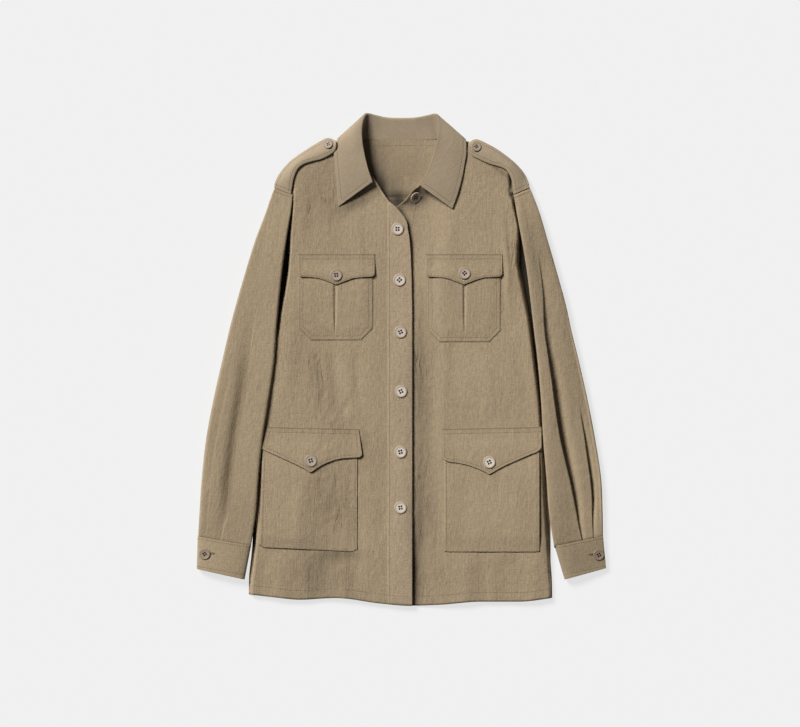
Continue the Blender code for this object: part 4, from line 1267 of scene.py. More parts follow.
def straps():
    for side, sign in SIDES.items():
        points = strap_grid(side, 70, 20)
        normal = upward(points)
        down = arc_lengths(points, 0)
        to_seam = down[-1:] - down
        over = arc_lengths(points, 1)
        rest = over[:, -1:] - over
        to_side = np.minimum(over, rest)
        dents = groove(to_side - STRAP_INSET, 0.12)
        dents = dents + groove(down - STRAP_INSET, 0.12) * ease((to_side - 4) / 2)
        dents = dents + groove(to_seam - SEAM_INSET, 0.17)
        dents = dents + rounded(to_side, 1.0, 0.21) + rounded(down, 1.0, 0.21)
        dents = dents + 0.06 * CRINKLE.at(over + 70 * sign, down + 500)
        points = points + normal * dents[..., None]
        uv = np.stack([over, down + 60 * sign], axis=-1)
        made = shell(f"strap_{side}", points, uv, 1.3, "trim", "khaki_trim", flip=sign > 0)

        kept = [r for r in range(len(points)) if down[r, 10] > STRAP_INSET and to_seam[r, 10] > 1]
        every = range(points.shape[1])
        inner = [c for c in every if STRAP_INSET <= over[4, c] <= over[4, -1] - STRAP_INSET]
        lines = [
            traced_run(points, normal, kept, reached(STRAP_INSET, over.T, kept)),
            traced_run(points, normal, kept, reached(-STRAP_INSET, -rest.T, kept)),
            traced_run(points, normal, reached(STRAP_INSET, down, inner), inner),
            traced_run(points, normal, reached(-SEAM_INSET, -to_seam, every), every),
        ]
        stitched(f"strap_{side}_stitching", lines)


def pleat_rows(side, along):
    """Each pleat of a sleeve at a place along it: place across, depth, wall and slope widths, share kept."""
    for rows in PLEATS[side]:
        yield [float(curve(rows, name, along)) for name in PLEAT_COLUMNS.split()[1:]]


# Ends of the sleeve head, and how its silhouette turns under: distance in and height.
HEAD_OUTER = 256.6
HEAD_INNER = 246.2
SLEEVE_EDGE = ((0.2, 5.2), (1.2, 3.2), (2.6, 1.7), (4.2, 0.8), (6.5, 0.2), (9, 0))
SLEEVE_LENGTH = 525
# Columns of one turn round: ends of the upper face, the part that looks up, its middle.
SLEEVE_TOP = (8, 85)
SLEEVE_CROWN = slice(20, 70)
SLEEVE_MIDDLE = 40


def sleeve_row(side, along):
    """One turn round the sleeve with its painted shade: from the front seam over and under it to the back
    seam.
    """
    sign = SIDES[side]
    outer_y = HEAD_OUTER + (CUFFS[side]["outer_y"][0] + 0.5 - HEAD_OUTER) * along
    inner_y = HEAD_INNER + (CUFFS[side]["inner_y"][0] + 0.5 - HEAD_INNER) * along
    outer = np.array([float(curve(SLEEVES[side], "outer", outer_y)), outer_y])
    inner = np.array([float(curve(SLEEVES[side], "inner", inner_y)), inner_y])
    width = float(np.hypot(*(outer - inner)))
    rise = float(curve(SLEEVE_HEIGHT, "loft", along)) - SLEEVE_BASE
    inner_z = float(sleeve_height(side, 1, rise))
    outer_z = float(SLEEVE_PROFILE[side]["z"][0])
    free = along < ARMHOLE_END - 0.01
    seam = float(body_half(sign, inner_y)) + 0.9 - inner[0]
    seam_z = 2.4
    if not free:
        seam_z = 1.4 + 2.0 * float(ease(seam / 4))
        seam = max(seam, 4.5)

    steps = np.linspace(0, 1, 80)
    across = 0.8 * steps + 0.1 * (1 - np.cos(np.pi * steps))
    pleats = list(pleat_rows(side, along))
    for centre, depth, *_ in pleats:
        pull = 0.68 * min(1.0, depth / 3) * (centre - across) * bell((across - centre) * width, 9)
        across = np.sort(across + pull)
    across = across[1:-1]
    crown = np.clip(np.minimum(across, 1 - across) / 0.06, 0, 1)
    top = sleeve_height(side, across, rise)
    shade = np.zeros_like(across)
    for centre, depth, wall, slope, kept in pleats:
        off = (across - centre) * width
        # Painted shade on the right sleeve's pleat walls, which face the light, to hide their highlight.
        if side == "right":
            shade = shade - 0.42 * min(1.0, depth / 5) * bell(off - 0.4, 1.4)
        top = top - depth * crown * np.where(off > 0, bell(off, wall), kept + (1 - kept) * bell(off, slope))

    lip = np.array([0.0, 0.12, 0.3, 0.5, 0.72, 0.9])
    loop = [(seam * (1 - t), seam_z + (inner_z - seam_z) * ease(t)) for t in lip] + [(0, inner_z)]
    before = len(loop)
    loop += [(width * (1 - a), z) for a, z in zip(across[::-1], top[::-1])]
    loop += [(width - off, z) for off, z in ((0, outer_z), *SLEEVE_EDGE)]
    foot = width - SLEEVE_EDGE[-1][0]
    low = seam + (4.0 if free else 6.5)
    loop += [(foot - (foot - low) * t, 0) for t in np.linspace(0, 1, 13)[1:]]
    loop += [(seam, 0) if free else (seam, seam_z)]
    off, z = np.array(loop).T
    run = (outer - inner) / width
    shades = np.concatenate([np.zeros(before), shade[::-1], np.zeros(len(loop) - before - len(shade))])
    return np.stack([sign * (inner[0] + run[0] * off), inner[1] + run[1] * off, z, shades], axis=-1)


def sleeves():
    # Rows lie close at the head and the cuff, where the cloth is tucked in.
    head = [-0.009, -0.004, 0, 0.0015, 0.0035, 0.0055, 0.0075, 0.0095, 0.012, 0.015]
    places = np.concatenate([head, np.linspace(0.02, 0.994, 156), [0.9975, 1.0, 1.006]])
    tucked = np.concatenate([[3.4, 2.2, 0.4, 0.1], np.zeros(len(places) - 7), [0.1, 0.5, 2.2]])[:, None]
    down = SLEEVE_LENGTH * np.maximum(places, 0)[:, None]
    ridge = 0.5 * bell(down - 2.6, 1.3) - 0.35 * bell(down - 5.4, 1.2)
    for side, sign in SIDES.items():
        x, y, z, shade = np.moveaxis([sleeve_row(side, along) for along in places], -1, 0)
        z = np.maximum(z - tucked, np.minimum(z, 2.5))
        points = xyz(x, y, z + ridge * ease((z - 8) / 3))
        u = arc_lengths(points, 1)
        v = arc_lengths(points, 0)[:, [SLEEVE_MIDDLE]] + np.zeros_like(u)
        normal = upward(points, SLEEVE_CROWN)
        column = np.arange(points.shape[1])
        calm = ease(v / 25) * ease((v.max() - v) / 12)
        swell = 0.12 * CRINKLE.at(u + 200 * sign + 240, v + 330) * (0.25 + 0.75 * calm)
        on_top = (column >= SLEEVE_TOP[0]) & (column < SLEEVE_TOP[1])
        swell = swell * on_top * (normal[..., 2] > -0.2)
        points = points + normal * swell[..., None]
        uv = np.stack([u + 300 * sign, v], axis=-1)
        made = shell(
            f"sleeve_{side}", points, uv, 0.8, "sleeve", weld=True, flip=sign > 0,
            also=[f"sleeve_{side}_under"], tone=shade,
        )


# How a cuff's sides turn under: distance in and height.
CUFF_EDGE = ((0.5, 4.4), (1.6, 2.8), (3.2, 1.6), (5.6, 0.6), (9, 0))
# Rows of stitches, in from the cuff's seam and from its free edge.
CUFF_SEAM_INSET = 3.0
CUFF_FREE_INSET = 6.0


def cuff_section(width, lean, fall):
    """Outer face of a cuff across its width, as places across and heights, round from the body side."""
    steps = np.linspace(0, math.pi, CUFF_STEPS)
    across = 0.5 * (1 - np.cos(steps))
    rise = CUFF_LOFT - CUFF_BASE - fall + lean * (1 - 2 * across)
    turn = [(1 - off / width, z) for off, z in CUFF_EDGE]
    flat = [(place, 0) for place in (0.74, 0.62, 0.5, 0.38, 0.26)]
    back = [(off / width, z) for off, z in reversed(CUFF_EDGE)]
    return [*zip(across, CUFF_BASE + rise * np.sin(steps) ** 0.4), *turn, *flat, *back, (0.0, CUFF_BASE)]


def cuff_top(side, x, y):
    """Height of the cuff's upper face."""
    rows = CUFFS[side]
    down = (rows["outer_y"][0] - y) / (rows["outer_y"][0] - rows["outer_y"][1])
    outer, inner = (rows[name][0] + (rows[name][1] - rows[name][0]) * down for name in ("outer_x", "inner_x"))
    across = np.clip((abs(x) - inner) / (outer - inner), 0.001, 0.999)
    lean, fall = CUFF_LEAN[side]
    rise = CUFF_LOFT - CUFF_BASE - fall * np.clip(down, 0, 1) + lean * (1 - 2 * across)
    return CUFF_BASE + rise * (4 * across * (1 - across)) ** 0.2


def cuffs():
    for side, sign in SIDES.items():
        lean, fall = CUFF_LEAN[side]
        grid = []
        for t in strip(50, 2.2, FINE_RIM):
            outer_x, outer_y, inner_x, inner_y = (ends @ (1 - t, t) for ends in CUFFS[side].values())
            run_x, run_y = outer_x - inner_x, outer_y - inner_y
            loop = cuff_section(math.hypot(run_x, run_y), lean, fall * t)
            grid.append([(sign * (inner_x + run_x * q), inner_y + run_y * q, z) for q, z in loop])
        points = np.array(grid)
        normal = upward(points, slice(10, 34))
        u = arc_lengths(points, 1)
        v = arc_lengths(points, 0)
        to_end = v[-1:] - v
        column = np.arange(points.shape[1])
        dents = groove(v - CUFF_SEAM_INSET, 0.12) + groove(to_end - CUFF_FREE_INSET)
        dents = dents + 0.05 * CRINKLE.at(u + 50, v + 90 * sign)
        dents = dents + rounded(v, 1.1, 0.21) + rounded(to_end, 1.1, 0.21)
        dents = dents * ((column >= 1) & (column < CUFF_STEPS))
        points = points + normal * dents[..., None]
        uv = np.stack([u, v + 200 * sign], axis=-1)
        made = shell(f"cuff_{side}", points, uv, 1.4, "sleeve", weld=True, flip=sign > 0)
        kept = column[1:CUFF_STEPS - 1]
        lines = [
            traced_run(points, normal, reached(distance, v, kept), kept)
            for distance in (CUFF_SEAM_INSET, float(v[-1, 20]) - CUFF_FREE_INSET)
        ]
        stitched(f"cuff_{side}_stitching", lines)


ROOT_TWO = math.sqrt(2)
# Columns of a chest pocket beside its middle pleat, and its two rows of stitches, in from the edge.
SLIT_SIDE = np.array([0.35, 0.7, 1.1, 1.6, 2.2, 3, 4.5])
SLIT_STEPS = np.concatenate([-SLIT_SIDE[::-1], [0], SLIT_SIDE])
SLIT_REACH = SLIT_SIDE[-1]
CHEST_INSET = 6.5
EDGE_INSET = 1.3


def chest_edge(side, x, y):
    """Distance in from the sewn edge of a chest pocket: sides, bottom and cut corners."""
    part = CHEST[side]
    off = part["half"] - abs(x - part["centre"])
    low = y - part["bottom"]
    corner = (off + low - part["cut"]) / ROOT_TWO
    return np.minimum(np.minimum(off, low), corner)


def chest_face(side, x, y):
    """Upper face of a chest pocket, with its middle pleat."""
    part = CHEST[side]
    near = chest_edge(side, x, y)
    below = ease((part["mouth"] - y) / 24)
    puff = 1.1 * ease(near / 22) * below - 0.5 * (1 - below)
    shift = 0.13 * CRINKLE.at(x + 210, y - 90)
    z = carrier_top(x, y) + 0.72 + puff + shift * ease(near / 6)
    z = z + groove(near - CHEST_INSET, 0.13) + rounded(near, 1.3, 0.34)
    open_run = ease((y - (part["bottom"] + 9)) / 40)
    return z - 2.3 * open_run ** 0.5 * bell(x - part["slit"], 0.7 + 1.1 * open_run)


def chest_line(part, inset, cut):
    """A row of stitches down one side of a chest pocket, along its bottom and up the other."""
    half, low, top = part["half"] - inset, part["bottom"] + inset, part["mouth"] - 2
    corners = [(half, top), (half, low + cut), (half - cut, low)]
    left = [(part["centre"] - off, y) for off, y in corners]
    return left + [(part["centre"] + off, y) for off, y in reversed(corners)]


def chest_pockets():
    for side, part in CHEST.items():
        height = part["mouth"] - part["bottom"]
        y = part["mouth"] - height * strip(height, 2.2, POCKET_RIM)[:, None]
        half = part["half"] - np.maximum(0, part["cut"] - (y - part["bottom"]))
        slit = part["slit"] - part["centre"]
        wing = strip(part["half"], 2.2, POCKET_RIM)
        low = (slit - SLIT_REACH + half) * wing - half
        high = slit + SLIT_REACH + (half - slit - SLIT_REACH) * wing
        middle = np.broadcast_to(slit + SLIT_STEPS, (len(y), len(SLIT_STEPS)))
        x = part["centre"] + np.concatenate([low[:, :-1], middle, high[:, 1:]], axis=1)
        face = partial(chest_face, side)
        points = xyz(x, y, face(x, y))
        made = shell(f"chest_pocket_{side}", points, plane_uv(points, (500, 90)), 0.8, "body", flip=True)
        lines = [
            laid_run(chest_line(part, CHEST_INSET, part["cut"] + CHEST_INSET * (ROOT_TWO - 2)), face),
            laid_run(chest_line(part, EDGE_INSET, part["cut"] - 0.75), face),
        ]
        pieces = [stitched(f"chest_pocket_{side}_stitching", lines)]


def chest_flap_face(side, x, y):
    """Height of a chest flap, over its pocket's mouth and lifting to its free edge."""
    down = CHEST[side]["flap_top"] - y
    over = ease((down - 1) / 30) * 1.7
    lift = 1.1 * ease((down - 14) / 20)
    return carrier_top(x, y) + 1.2 + over + lift


FLAP_TOP_INSETS = (1.4, 7.5)


def flap(kind, side, x, top, drop, face, shift, inset, flare=(0.0, 0.0)):
    """A flap: sewn on along its top, double there, with its lower edge free and its ends flaring out."""
    node = f"{kind}_flap_{side}"
    shares = strip(46, 1.6, FINE_RIM)[:, None]
    y = top - drop * shares
    along = (x - x[0]) / (x[-1] - x[0])
    spread = flare[1] * ease((along - 0.6) / 0.4) - flare[0] * ease((0.3 - along) / 0.3)
    sign = np.sign(x[-1] - x[0])
    grid_x = x + sign * spread * shares
    to_top = top - y
    to_low = drop * (1 - shares) / np.sqrt(1 + np.gradient(drop, x) ** 2)
    to_side = np.minimum(x - x.min(), x.max() - x)
    free = np.minimum(to_low, to_side)
    z = groove(to_top - FLAP_TOP_INSETS[-1], 0.16) + groove(free - inset, 0.13) * ease((to_top - 6) / 3)
    z = z + rounded(free, 1.1, 0.27) + rounded(to_top, 0.8, 0.30)
    z = z + 0.15 * CRINKLE.at(grid_x + shift, y + 2 * shift) * ease(free / 6)
    points = xyz(grid_x, y, face(grid_x, y) + z)
    # Painted shade: a dark line along the sewn top, and the whole flap a little darker against the light its
    # slope catches.
    seam = -0.42 * bell(to_top - 0.4, 0.7) - 0.05
    made = shell(node, points, plane_uv(points, (shift, 70)), 1.4, "flap", flip=sign > 0, tone=seam)

    normal = upward(points)
    kept = np.flatnonzero(to_side > 0.8)
    lines = [traced_run(points, normal, reached(off, to_top, kept), kept) for off in FLAP_TOP_INSETS]
    kept = np.flatnonzero(to_side >= inset)
    low_rows = reached(-inset, -to_low, kept)
    lines.append(traced_run(points, normal, low_rows, kept))
    for end in (0, -1):
        start = reached(8.0, to_top, kept[[end]])[0]
        down = np.linspace(start, low_rows[end], 20)
        lines.append(traced_run(points, normal, down, np.full(20, kept[end])))
    pieces = [stitched(node + "_stitching", lines)]


def chest_flaps():
    across = 2 * strip(2 * CHEST_FLAP_HALF, 1.8, FINE_RIM) - 1
    drop = curve(CHEST_FLAP, "drop", abs(across))
    for side, part in CHEST.items():
        x = part["flap_centre"] + CHEST_FLAP_HALF * across
        top = np.full_like(x, part["flap_top"])
        flap("chest", side, x, top, drop, partial(chest_flap_face, side), part["grain"], 2.2)


def hip_puff(x, y):
    """How far a hip pocket stands out: most at its lower outer part, almost nothing at its inner edge."""
    side_in = np.where(x < 0, -66.0, 63.5)
    out = abs(x - side_in)
    spread = np.where(x < 0, ease((out - 22) / 58), 0.45 + 0.4 * ease(out / 60))
    low = 0.2 + 0.8 * ease((y - HIP_BOTTOM) / 26)
    return 0.3 + 3.0 * spread * ease((-110 - y) / 70) * low


def hip_face(x, y):
    """Upper face of a hip pocket, before its crinkles."""
    mouth = 0.6 * (1 - ease((-116 - y) / 22))
    return bridged_top(x, y) + 0.9 - mouth + hip_puff(x, y) + creased(HIP_CREASES, x, y)


def hip_pockets():
    length = HIP_MOUTH - HIP_BOTTOM
    down = strip(length, 2.6, GUSSET_RIM)
    wide = strip(140, 2.1, GUSSET_RIM)
    flat_down, flat_wide = np.zeros(len(down)), np.zeros(len(wide))
    # The two last rows and the two columns at each side are the gusset, turned in and down to the front.
    share = np.concatenate([down, [1.0, 1.0]])[:, None]
    turned_up = np.concatenate([flat_down, [1.0, 1.6]])[:, None]
    sunk_low = np.concatenate([flat_down, [0.45, 1.0]])[:, None]
    t = np.concatenate([[0, 0], wide, [1, 1]])
    turned_in = np.concatenate([[1.6, 1.0], flat_wide, [-1.0, -1.6]])
    sunk = np.maximum(np.concatenate([[1.0, 0.45], flat_wide, [0.45, 1.0]]), sunk_low)
    for side, sign in SIDES.items():
        part = HIP[side]
        inner = part["mouth_in"] + (part["low_in"] - part["mouth_in"]) * share
        outer = part["mouth_out"] + (part["low_out"] - part["mouth_out"]) * share
        x = inner + (outer - inner) * t + sign * turned_in
        near_side = np.minimum(abs(x - inner), abs(outer - x))
        near_low = (1 - share) * length
        near = np.minimum(near_side, near_low)
        corner = np.clip((9 - near_side) / 9, 0, 1) * np.clip((9 - near_low) / 9, 0, 1)
        y = HIP_MOUTH - length * share + turned_up + part["slant"] * share * t + part["corner"] * corner ** 2
        z = hip_face(x, y) + crinkle_strength(x, y) * CRINKLE.at(x + 620, y - 200) * ease(near / 5)
        z = z + rounded(near, 1.9, 0.54) + groove(near - HIP_INSET, 0.11)
        points = xyz(x, y, z - sunk * (hip_puff(x, y) + 0.4))
        made = shell(f"hip_pocket_{side}", points, plane_uv(points, (710, 130)), 0.9, "body", flip=sign > 0)
        normal = upward(points)
        first = 2
        u = arc_lengths(points[:, first:-first], 1)
        kept = np.arange(len(points) - 4)
        lines = [
            traced_run(points, normal, kept, first + np.array(reached(off, measure.T, kept)))
            for off, measure in ((HIP_INSET, u), (-HIP_INSET, u - u[:, -1:]))
        ]
        pieces = [stitched(f"hip_pocket_{side}_stitching", lines)]


def hip_flap_face(side, x, y):
    """Height of a hip flap, over its pocket and lifting to its free edge."""
    part = HIP_FLAP_TOP[side]
    down = 0.5 * (part["inner_y"] + part["outer_y"]) - y
    over = ease((down - 1) / 32) * 1.5 + ease((down - 4) / 30) * hip_puff(x, y)
    lift = np.where(np.asarray(x) < 0, 1.0, 0.5) * ease((down - 22) / 28)
    return bridged_top(x, y) + 1.2 + over + lift


def hip_flaps():
    along = strip(146, 1.8, FINE_RIM)
    for side, part in HIP_FLAP_TOP.items():
        x = part["inner_x"] + (part["outer_x"] - part["inner_x"]) * along
        top = part["inner_y"] + (part["outer_y"] - part["inner_y"]) * along
        drop = curve(HIP_FLAP[side], "drop", along)
        face = partial(hip_flap_face, side)
        flap("hip", side, x, top, drop, face, part["grain"], HIP_FLAP_INSET, part["flare"])


BUTTON_PROFILE = table(
    "radius height",
    (0.0, 0.0), (0.60, 0.0), (0.80, 0.06), (0.93, 0.20), (0.99, 0.40), (1.0, 0.56), (0.985, 0.74),
    (0.95, 0.88), (0.90, 0.96), (0.85, 0.98), (0.80, 0.96), (0.74, 0.90), (0.68, 0.84), (0.62, 0.81),
    (0.52, 0.80), (0.40, 0.79), (0.25, 0.78), (0.12, 0.78), (0.0, 0.78),
)
BUTTON_THICK = 2.0
BUTTON_SIDES = 56
HOLE_SIDES = 18
PLUG_SIDES = 8
PLUG_RINGS = ((0.15, -0.05), (0.15, 0.40), (0.10, 0.46), (0.02, 0.48))
HOLE_PLACE = 0.19
HOLE_SIZE = 0.16
HOLES = [(sx * HOLE_PLACE, sy * HOLE_PLACE) for sx in (1, -1) for sy in (1, -1)]


def button_mesh():
    """One button of unit radius: a turned disc with a raised rim and four holes right through."""
    profile = list(zip(*BUTTON_PROFILE.values()))
    places = [(0, 0, 0)]
    for radius, height in profile[1:-1]:
        places += ring(radius, height, BUTTON_SIDES)
    top = len(places)
    places.append((0, 0, profile[-1][1]))
    last = top - BUTTON_SIDES
    faces = []
    for k in range(BUTTON_SIDES):
        n = (k + 1) % BUTTON_SIDES
        faces.append((0, 1 + n, 1 + k))
        for a in range(1, last, BUTTON_SIDES):
            faces.append((a + k, a + n, a + BUTTON_SIDES + n, a + BUTTON_SIDES + k))
        faces.append((last + k, last + n, top))
    disc = bpy.data.meshes.new("button_disc")
    disc.from_pydata(places, [], faces)

    drill_places = []
    drill_faces = []
    for centre in HOLES:
        start = len(drill_places)
        end = start + HOLE_SIDES
        drill_places += ring(HOLE_SIZE, -0.5, HOLE_SIDES, centre) + ring(HOLE_SIZE, 1.5, HOLE_SIDES, centre)
        drill_faces += ring_faces(start, 2, HOLE_SIDES)
        drill_faces += [tuple(reversed(range(start, end))), tuple(range(end, end + HOLE_SIDES))]
    drill = bpy.data.meshes.new("button_drill")
    drill.from_pydata(drill_places, [], drill_faces)

    body = added("button_disc", disc)
    cutter = added("button_drill", drill)
    cut = body.modifiers.new("holes", "BOOLEAN")
    cut.object = cutter
    cut.operation = "DIFFERENCE"
    cut.solver = "EXACT"
    bpy.context.view_layer.update()
    made = bpy.data.meshes.new_from_object(body.evaluated_get(bpy.context.evaluated_depsgraph_get()))
    for one in (body, cutter):
        bpy.data.objects.remove(one)
    return made


def thread_plugs():
    """Points and faces of the threads drawn tight in a button's four holes, unit button."""
    places = []
    faces = []
    for centre in HOLES:
        faces += ring_faces(len(places), len(PLUG_RINGS), PLUG_SIDES)
        for radius, height in PLUG_RINGS:
            places += ring(radius, height, PLUG_SIDES, centre)
        a = len(places) - PLUG_SIDES
        faces += [(a, a + 1, a + 2, a + 3), (a, a + 3, a + 4, a + 5), (a, a + 5, a + 6, a + 7)]
    return np.array(places), np.array(faces)


# How far a button is drawn into the cloth.
BUTTON_SUNK = 0.5


def button_frame(x, y, size, surface, lean=None):
    """Where a button sits, drawn a little into what carries it: its centre and its three directions."""
    reach = 0.5 * size
    slope_x = float(surface(x + reach, y) - surface(x - reach, y)) / size
    slope_y = float(surface(x, y + reach) - surface(x, y - reach)) / size
    if lean:
        slope_x, slope_y = lean
    normal = unit(np.array([-slope_x, -slope_y, 1.0]))
    right = unit(np.array([1.0, 0, slope_x]))
    most = max(
        float(surface(x + r * math.cos(a), y + r * math.sin(a)))
        - r * (slope_x * math.cos(a) + slope_y * math.sin(a))
        for r in (0, 0.4 * reach, 0.75 * reach)
        for a in np.linspace(0, 2 * math.pi, 17)
    )
    return np.array([x, y, most - BUTTON_SUNK]), right, np.cross(normal, right), normal


def strap_plane(side):
    """A plane through the strap under its button, as a height function."""
    grid = strap_grid(side, 40, 12).reshape(-1, 3)
    spot = SIDE_BUTTONS["strap"][side]
    near = grid[np.hypot(grid[:, 0] - spot[0], grid[:, 1] - spot[1]) < 10]
    flat = np.column_stack([near[:, :2], np.ones(len(near))])
    fit = np.linalg.lstsq(flat, near[:, 2], rcond=None)[0]
    return lambda x, y: fit[0] * x + fit[1] * y + fit[2] + 0.4


def buttons():
    look = bpy.context.scene.jacket_look
    dark, pale, pale_rim = (np.array(c) for c in (look.button_dark, look.button_pale, look.button_rim))
    dark_rim = 0.92 * dark
    model = button_mesh()
    corners = np.zeros(len(model.vertices) * 3)
    model.vertices.foreach_get("co", corners)
    corners = corners.reshape(-1, 3)
    rim = ease((np.hypot(corners[:, 0], corners[:, 1]) - 0.66) / 0.14)
    hole = [float(abs(face.normal.z) < 0.3 and face.center.xy.length < 0.5) for face in model.polygons]
    plugs, plug_faces = thread_plugs()
    threads = []

    def sew(node, x, y, size, turn, paleness, surface, lean=None, gloss=SATIN, rim_pale=None):
        centre, right, up, normal = button_frame(x, y, size, surface, lean)
        c, s = math.cos(math.radians(turn)), math.sin(math.radians(turn))
        right, up = right * c + up * s, up * c - right * s
        axes = np.array([right * size * 0.5, up * size * 0.5, normal * BUTTON_THICK])
        mesh = model.copy()
        mesh.name = node + "_shell"
        mesh.vertices.foreach_set("co", ((centre + corners @ axes) * MM).ravel())
        mesh.polygons.foreach_set("use_smooth", np.ones(len(mesh.polygons), bool))
        mesh.set_sharp_from_angle(angle=math.radians(50))
        mesh.update()
        mesh.attributes.new("rim", "FLOAT", "POINT").data.foreach_set("value", rim)
        mesh.attributes.new("hole", "FLOAT", "FACE").data.foreach_set("value", hole)
        shade = tuple(dark + (pale - dark) * paleness)
        edge = tuple(dark_rim + (pale_rim - dark_rim) * (paleness if rim_pale is None else rim_pale))
        placed(node + "_shell", mesh, button_finish(node + "_plastic", shade, edge, gloss), "button", node)
        threads.append(centre + plugs @ axes)

    for i, row in enumerate(zip(*FRONT_BUTTONS.values()), 1):
        sew(f"button_front_{i}", *row, placket_face)
    tilt = math.tan(math.radians(NECK_TILT))
    bearing = math.radians(NECK_BEARING)
    lean = (-tilt * math.cos(bearing), -tilt * math.sin(bearing))
    sew("button_neck", surface=under_face, lean=lean, **NECK_BUTTON)
    for side in SIDES:
        surfaces = {
            "chest": partial(chest_flap_face, side),
            "hip": partial(hip_flap_face, side),
            "strap": strap_plane(side),
            "cuff": partial(cuff_top, side),
        }
        for place, surface in surfaces.items():
            sew(f"button_{place}_{side}", *SIDE_BUTTONS[place][side], surface)
    faces = [plug_faces + i * len(plugs) for i in range(len(threads))]
    mesh = faced_mesh("button_threads", np.concatenate(threads), np.concatenate(faces))
    placed("button_threads", mesh, finish_for("dark_thread"), "khaki_cloth")
    bpy.data.meshes.remove(model)


# How far a buttonhole's threads stand up from the cuff.
HOLE_LIFT = {"right": -0.02, "left": 0.4}


def cuff_buttonholes():
    """The worked buttonhole that shows beside each cuff's button."""
    for side, sign in SIDES.items():
        x, y = SIDE_BUTTONS["cuff"][side][:2]
        start = x - sign * 4.0
        end = x - sign * 14.5
        bar = end - sign * 0.3

        def face(px, py):
            return cuff_top(side, px, py) + HOLE_LIFT[side]

        bars = []
        for line in (
            [(start, y - 0.05), (end, y - 0.05)],
            [(start, y + 1.65), (end, y + 1.65)],
            [(bar, y - 0.3), (bar, y + 1.9)],
        ):
            for p, ahead, up in zip(*along_run(*laid_run(line, face, 0.4), 0.62)):
                out = 0.75 * np.cross(up, ahead)
                bars.append((np.array([p - out, p, p + out]), np.array([up, up, up])))
        stitched(f"cuff_{side}_buttonhole", bars, pitch=3.0, long=1.5, wide=0.6, high=0.7)


FLOOR_HALF = 4.0
FLOOR_LEVEL = -0.0004
SENSOR = 36
VIEW_WIDTH = 1.2
EYE_X, EYE_Y = -0.00225, -0.006375
FOCUS_HEIGHT = 0.012


def stage():
    scene = bpy.context.scene
    setting = scene.jacket_stage
    mesh = bpy.data.meshes.new("floor")
    corners = ((-1, -1), (1, -1), (1, 1), (-1, 1))
    mesh.from_pydata([(x * FLOOR_HALF, y * FLOOR_HALF, FLOOR_LEVEL) for x, y in corners], [], [(0, 1, 2, 3)])
    floor = added("floor", mesh)
    paper = Finish("pale_floor")
    grain = paper.noise(paper.place(), 900.0, 2.0)
    paper.feed("Base Color", paper.shaded(grain, (setting.floor_shade,) * 3, 0.99, 1.01))
    paper.hold({"Roughness": 0.95, "Specular IOR Level": 0.1})
    paper.hold({"Emission Color": (1, 1, 1, 1), "Emission Strength": setting.floor_glow})
    mesh.materials.append(paper.made)

    key = bpy.data.lights.new("key", "SUN")
    key.energy = setting.key_power
    key.angle = math.radians(setting.key_spread)
    tip, turn = math.radians(90 - setting.key_height), math.radians(setting.key_bearing + 90)
    added("key", key).rotation_euler = (tip, 0, turn)
    world = bpy.data.worlds.new("studio")
    scene.world = world
    world.use_nodes = True
    sky = world.node_tree.nodes["Background"]
    sky.inputs["Color"].default_value = (1, 1, 1, 1)
    sky.inputs["Strength"].default_value = setting.room_light

    camera = bpy.data.cameras.new("camera")
    camera.sensor_width = SENSOR
    camera.lens = SENSOR * setting.camera_distance / VIEW_WIDTH
    camera.clip_end = 100
    eye = added("camera", camera)
    eye.location = (EYE_X, EYE_Y, setting.camera_distance + FOCUS_HEIGHT)
    scene.camera = eye
    scene.view_settings.view_transform = "Standard"


# Settings, operators and panel.
COLOUR = dict(subtype="COLOR", size=3, min=0, max=1)


class JacketLook(bpy.types.PropertyGroup):
    """Colours of the cloth, thread and buttons."""

    khaki: bpy.props.FloatVectorProperty(
        name="Khaki", description="Body, sleeves and pockets", default=(0.350, 0.267, 0.168), **COLOUR,
    )
    trim: bpy.props.FloatVectorProperty(
        name="Faced khaki", description="Collar and straps", default=(0.362, 0.282, 0.188), **COLOUR,
    )
    placket: bpy.props.FloatVectorProperty(
        name="Placket", description="Buttoned strip of the over front",
        default=(0.385, 0.293, 0.190), **COLOUR,
    )
    thread: bpy.props.FloatVectorProperty(
        name="Thread", description="Topstitching and buttonholes", default=(0.185, 0.139, 0.09), **COLOUR,
    )
    # Nearly black, partly as painted shade for the dark in the buttons' holes.
    button_thread: bpy.props.FloatVectorProperty(
        name="Button thread", description="Threads in the buttons", default=(0.012, 0.009, 0.007), **COLOUR,
    )
    button_pale: bpy.props.FloatVectorProperty(
        name="Pale button", description="Palest button", default=(0.63, 0.545, 0.465), **COLOUR,
    )
    button_rim: bpy.props.FloatVectorProperty(
        name="Button rim", description="Rim of the palest button", default=(0.42, 0.338, 0.25), **COLOUR,
    )
    button_dark: bpy.props.FloatVectorProperty(
        name="Dark button", description="Darkest button", default=(0.275, 0.212, 0.152), **COLOUR,
    )


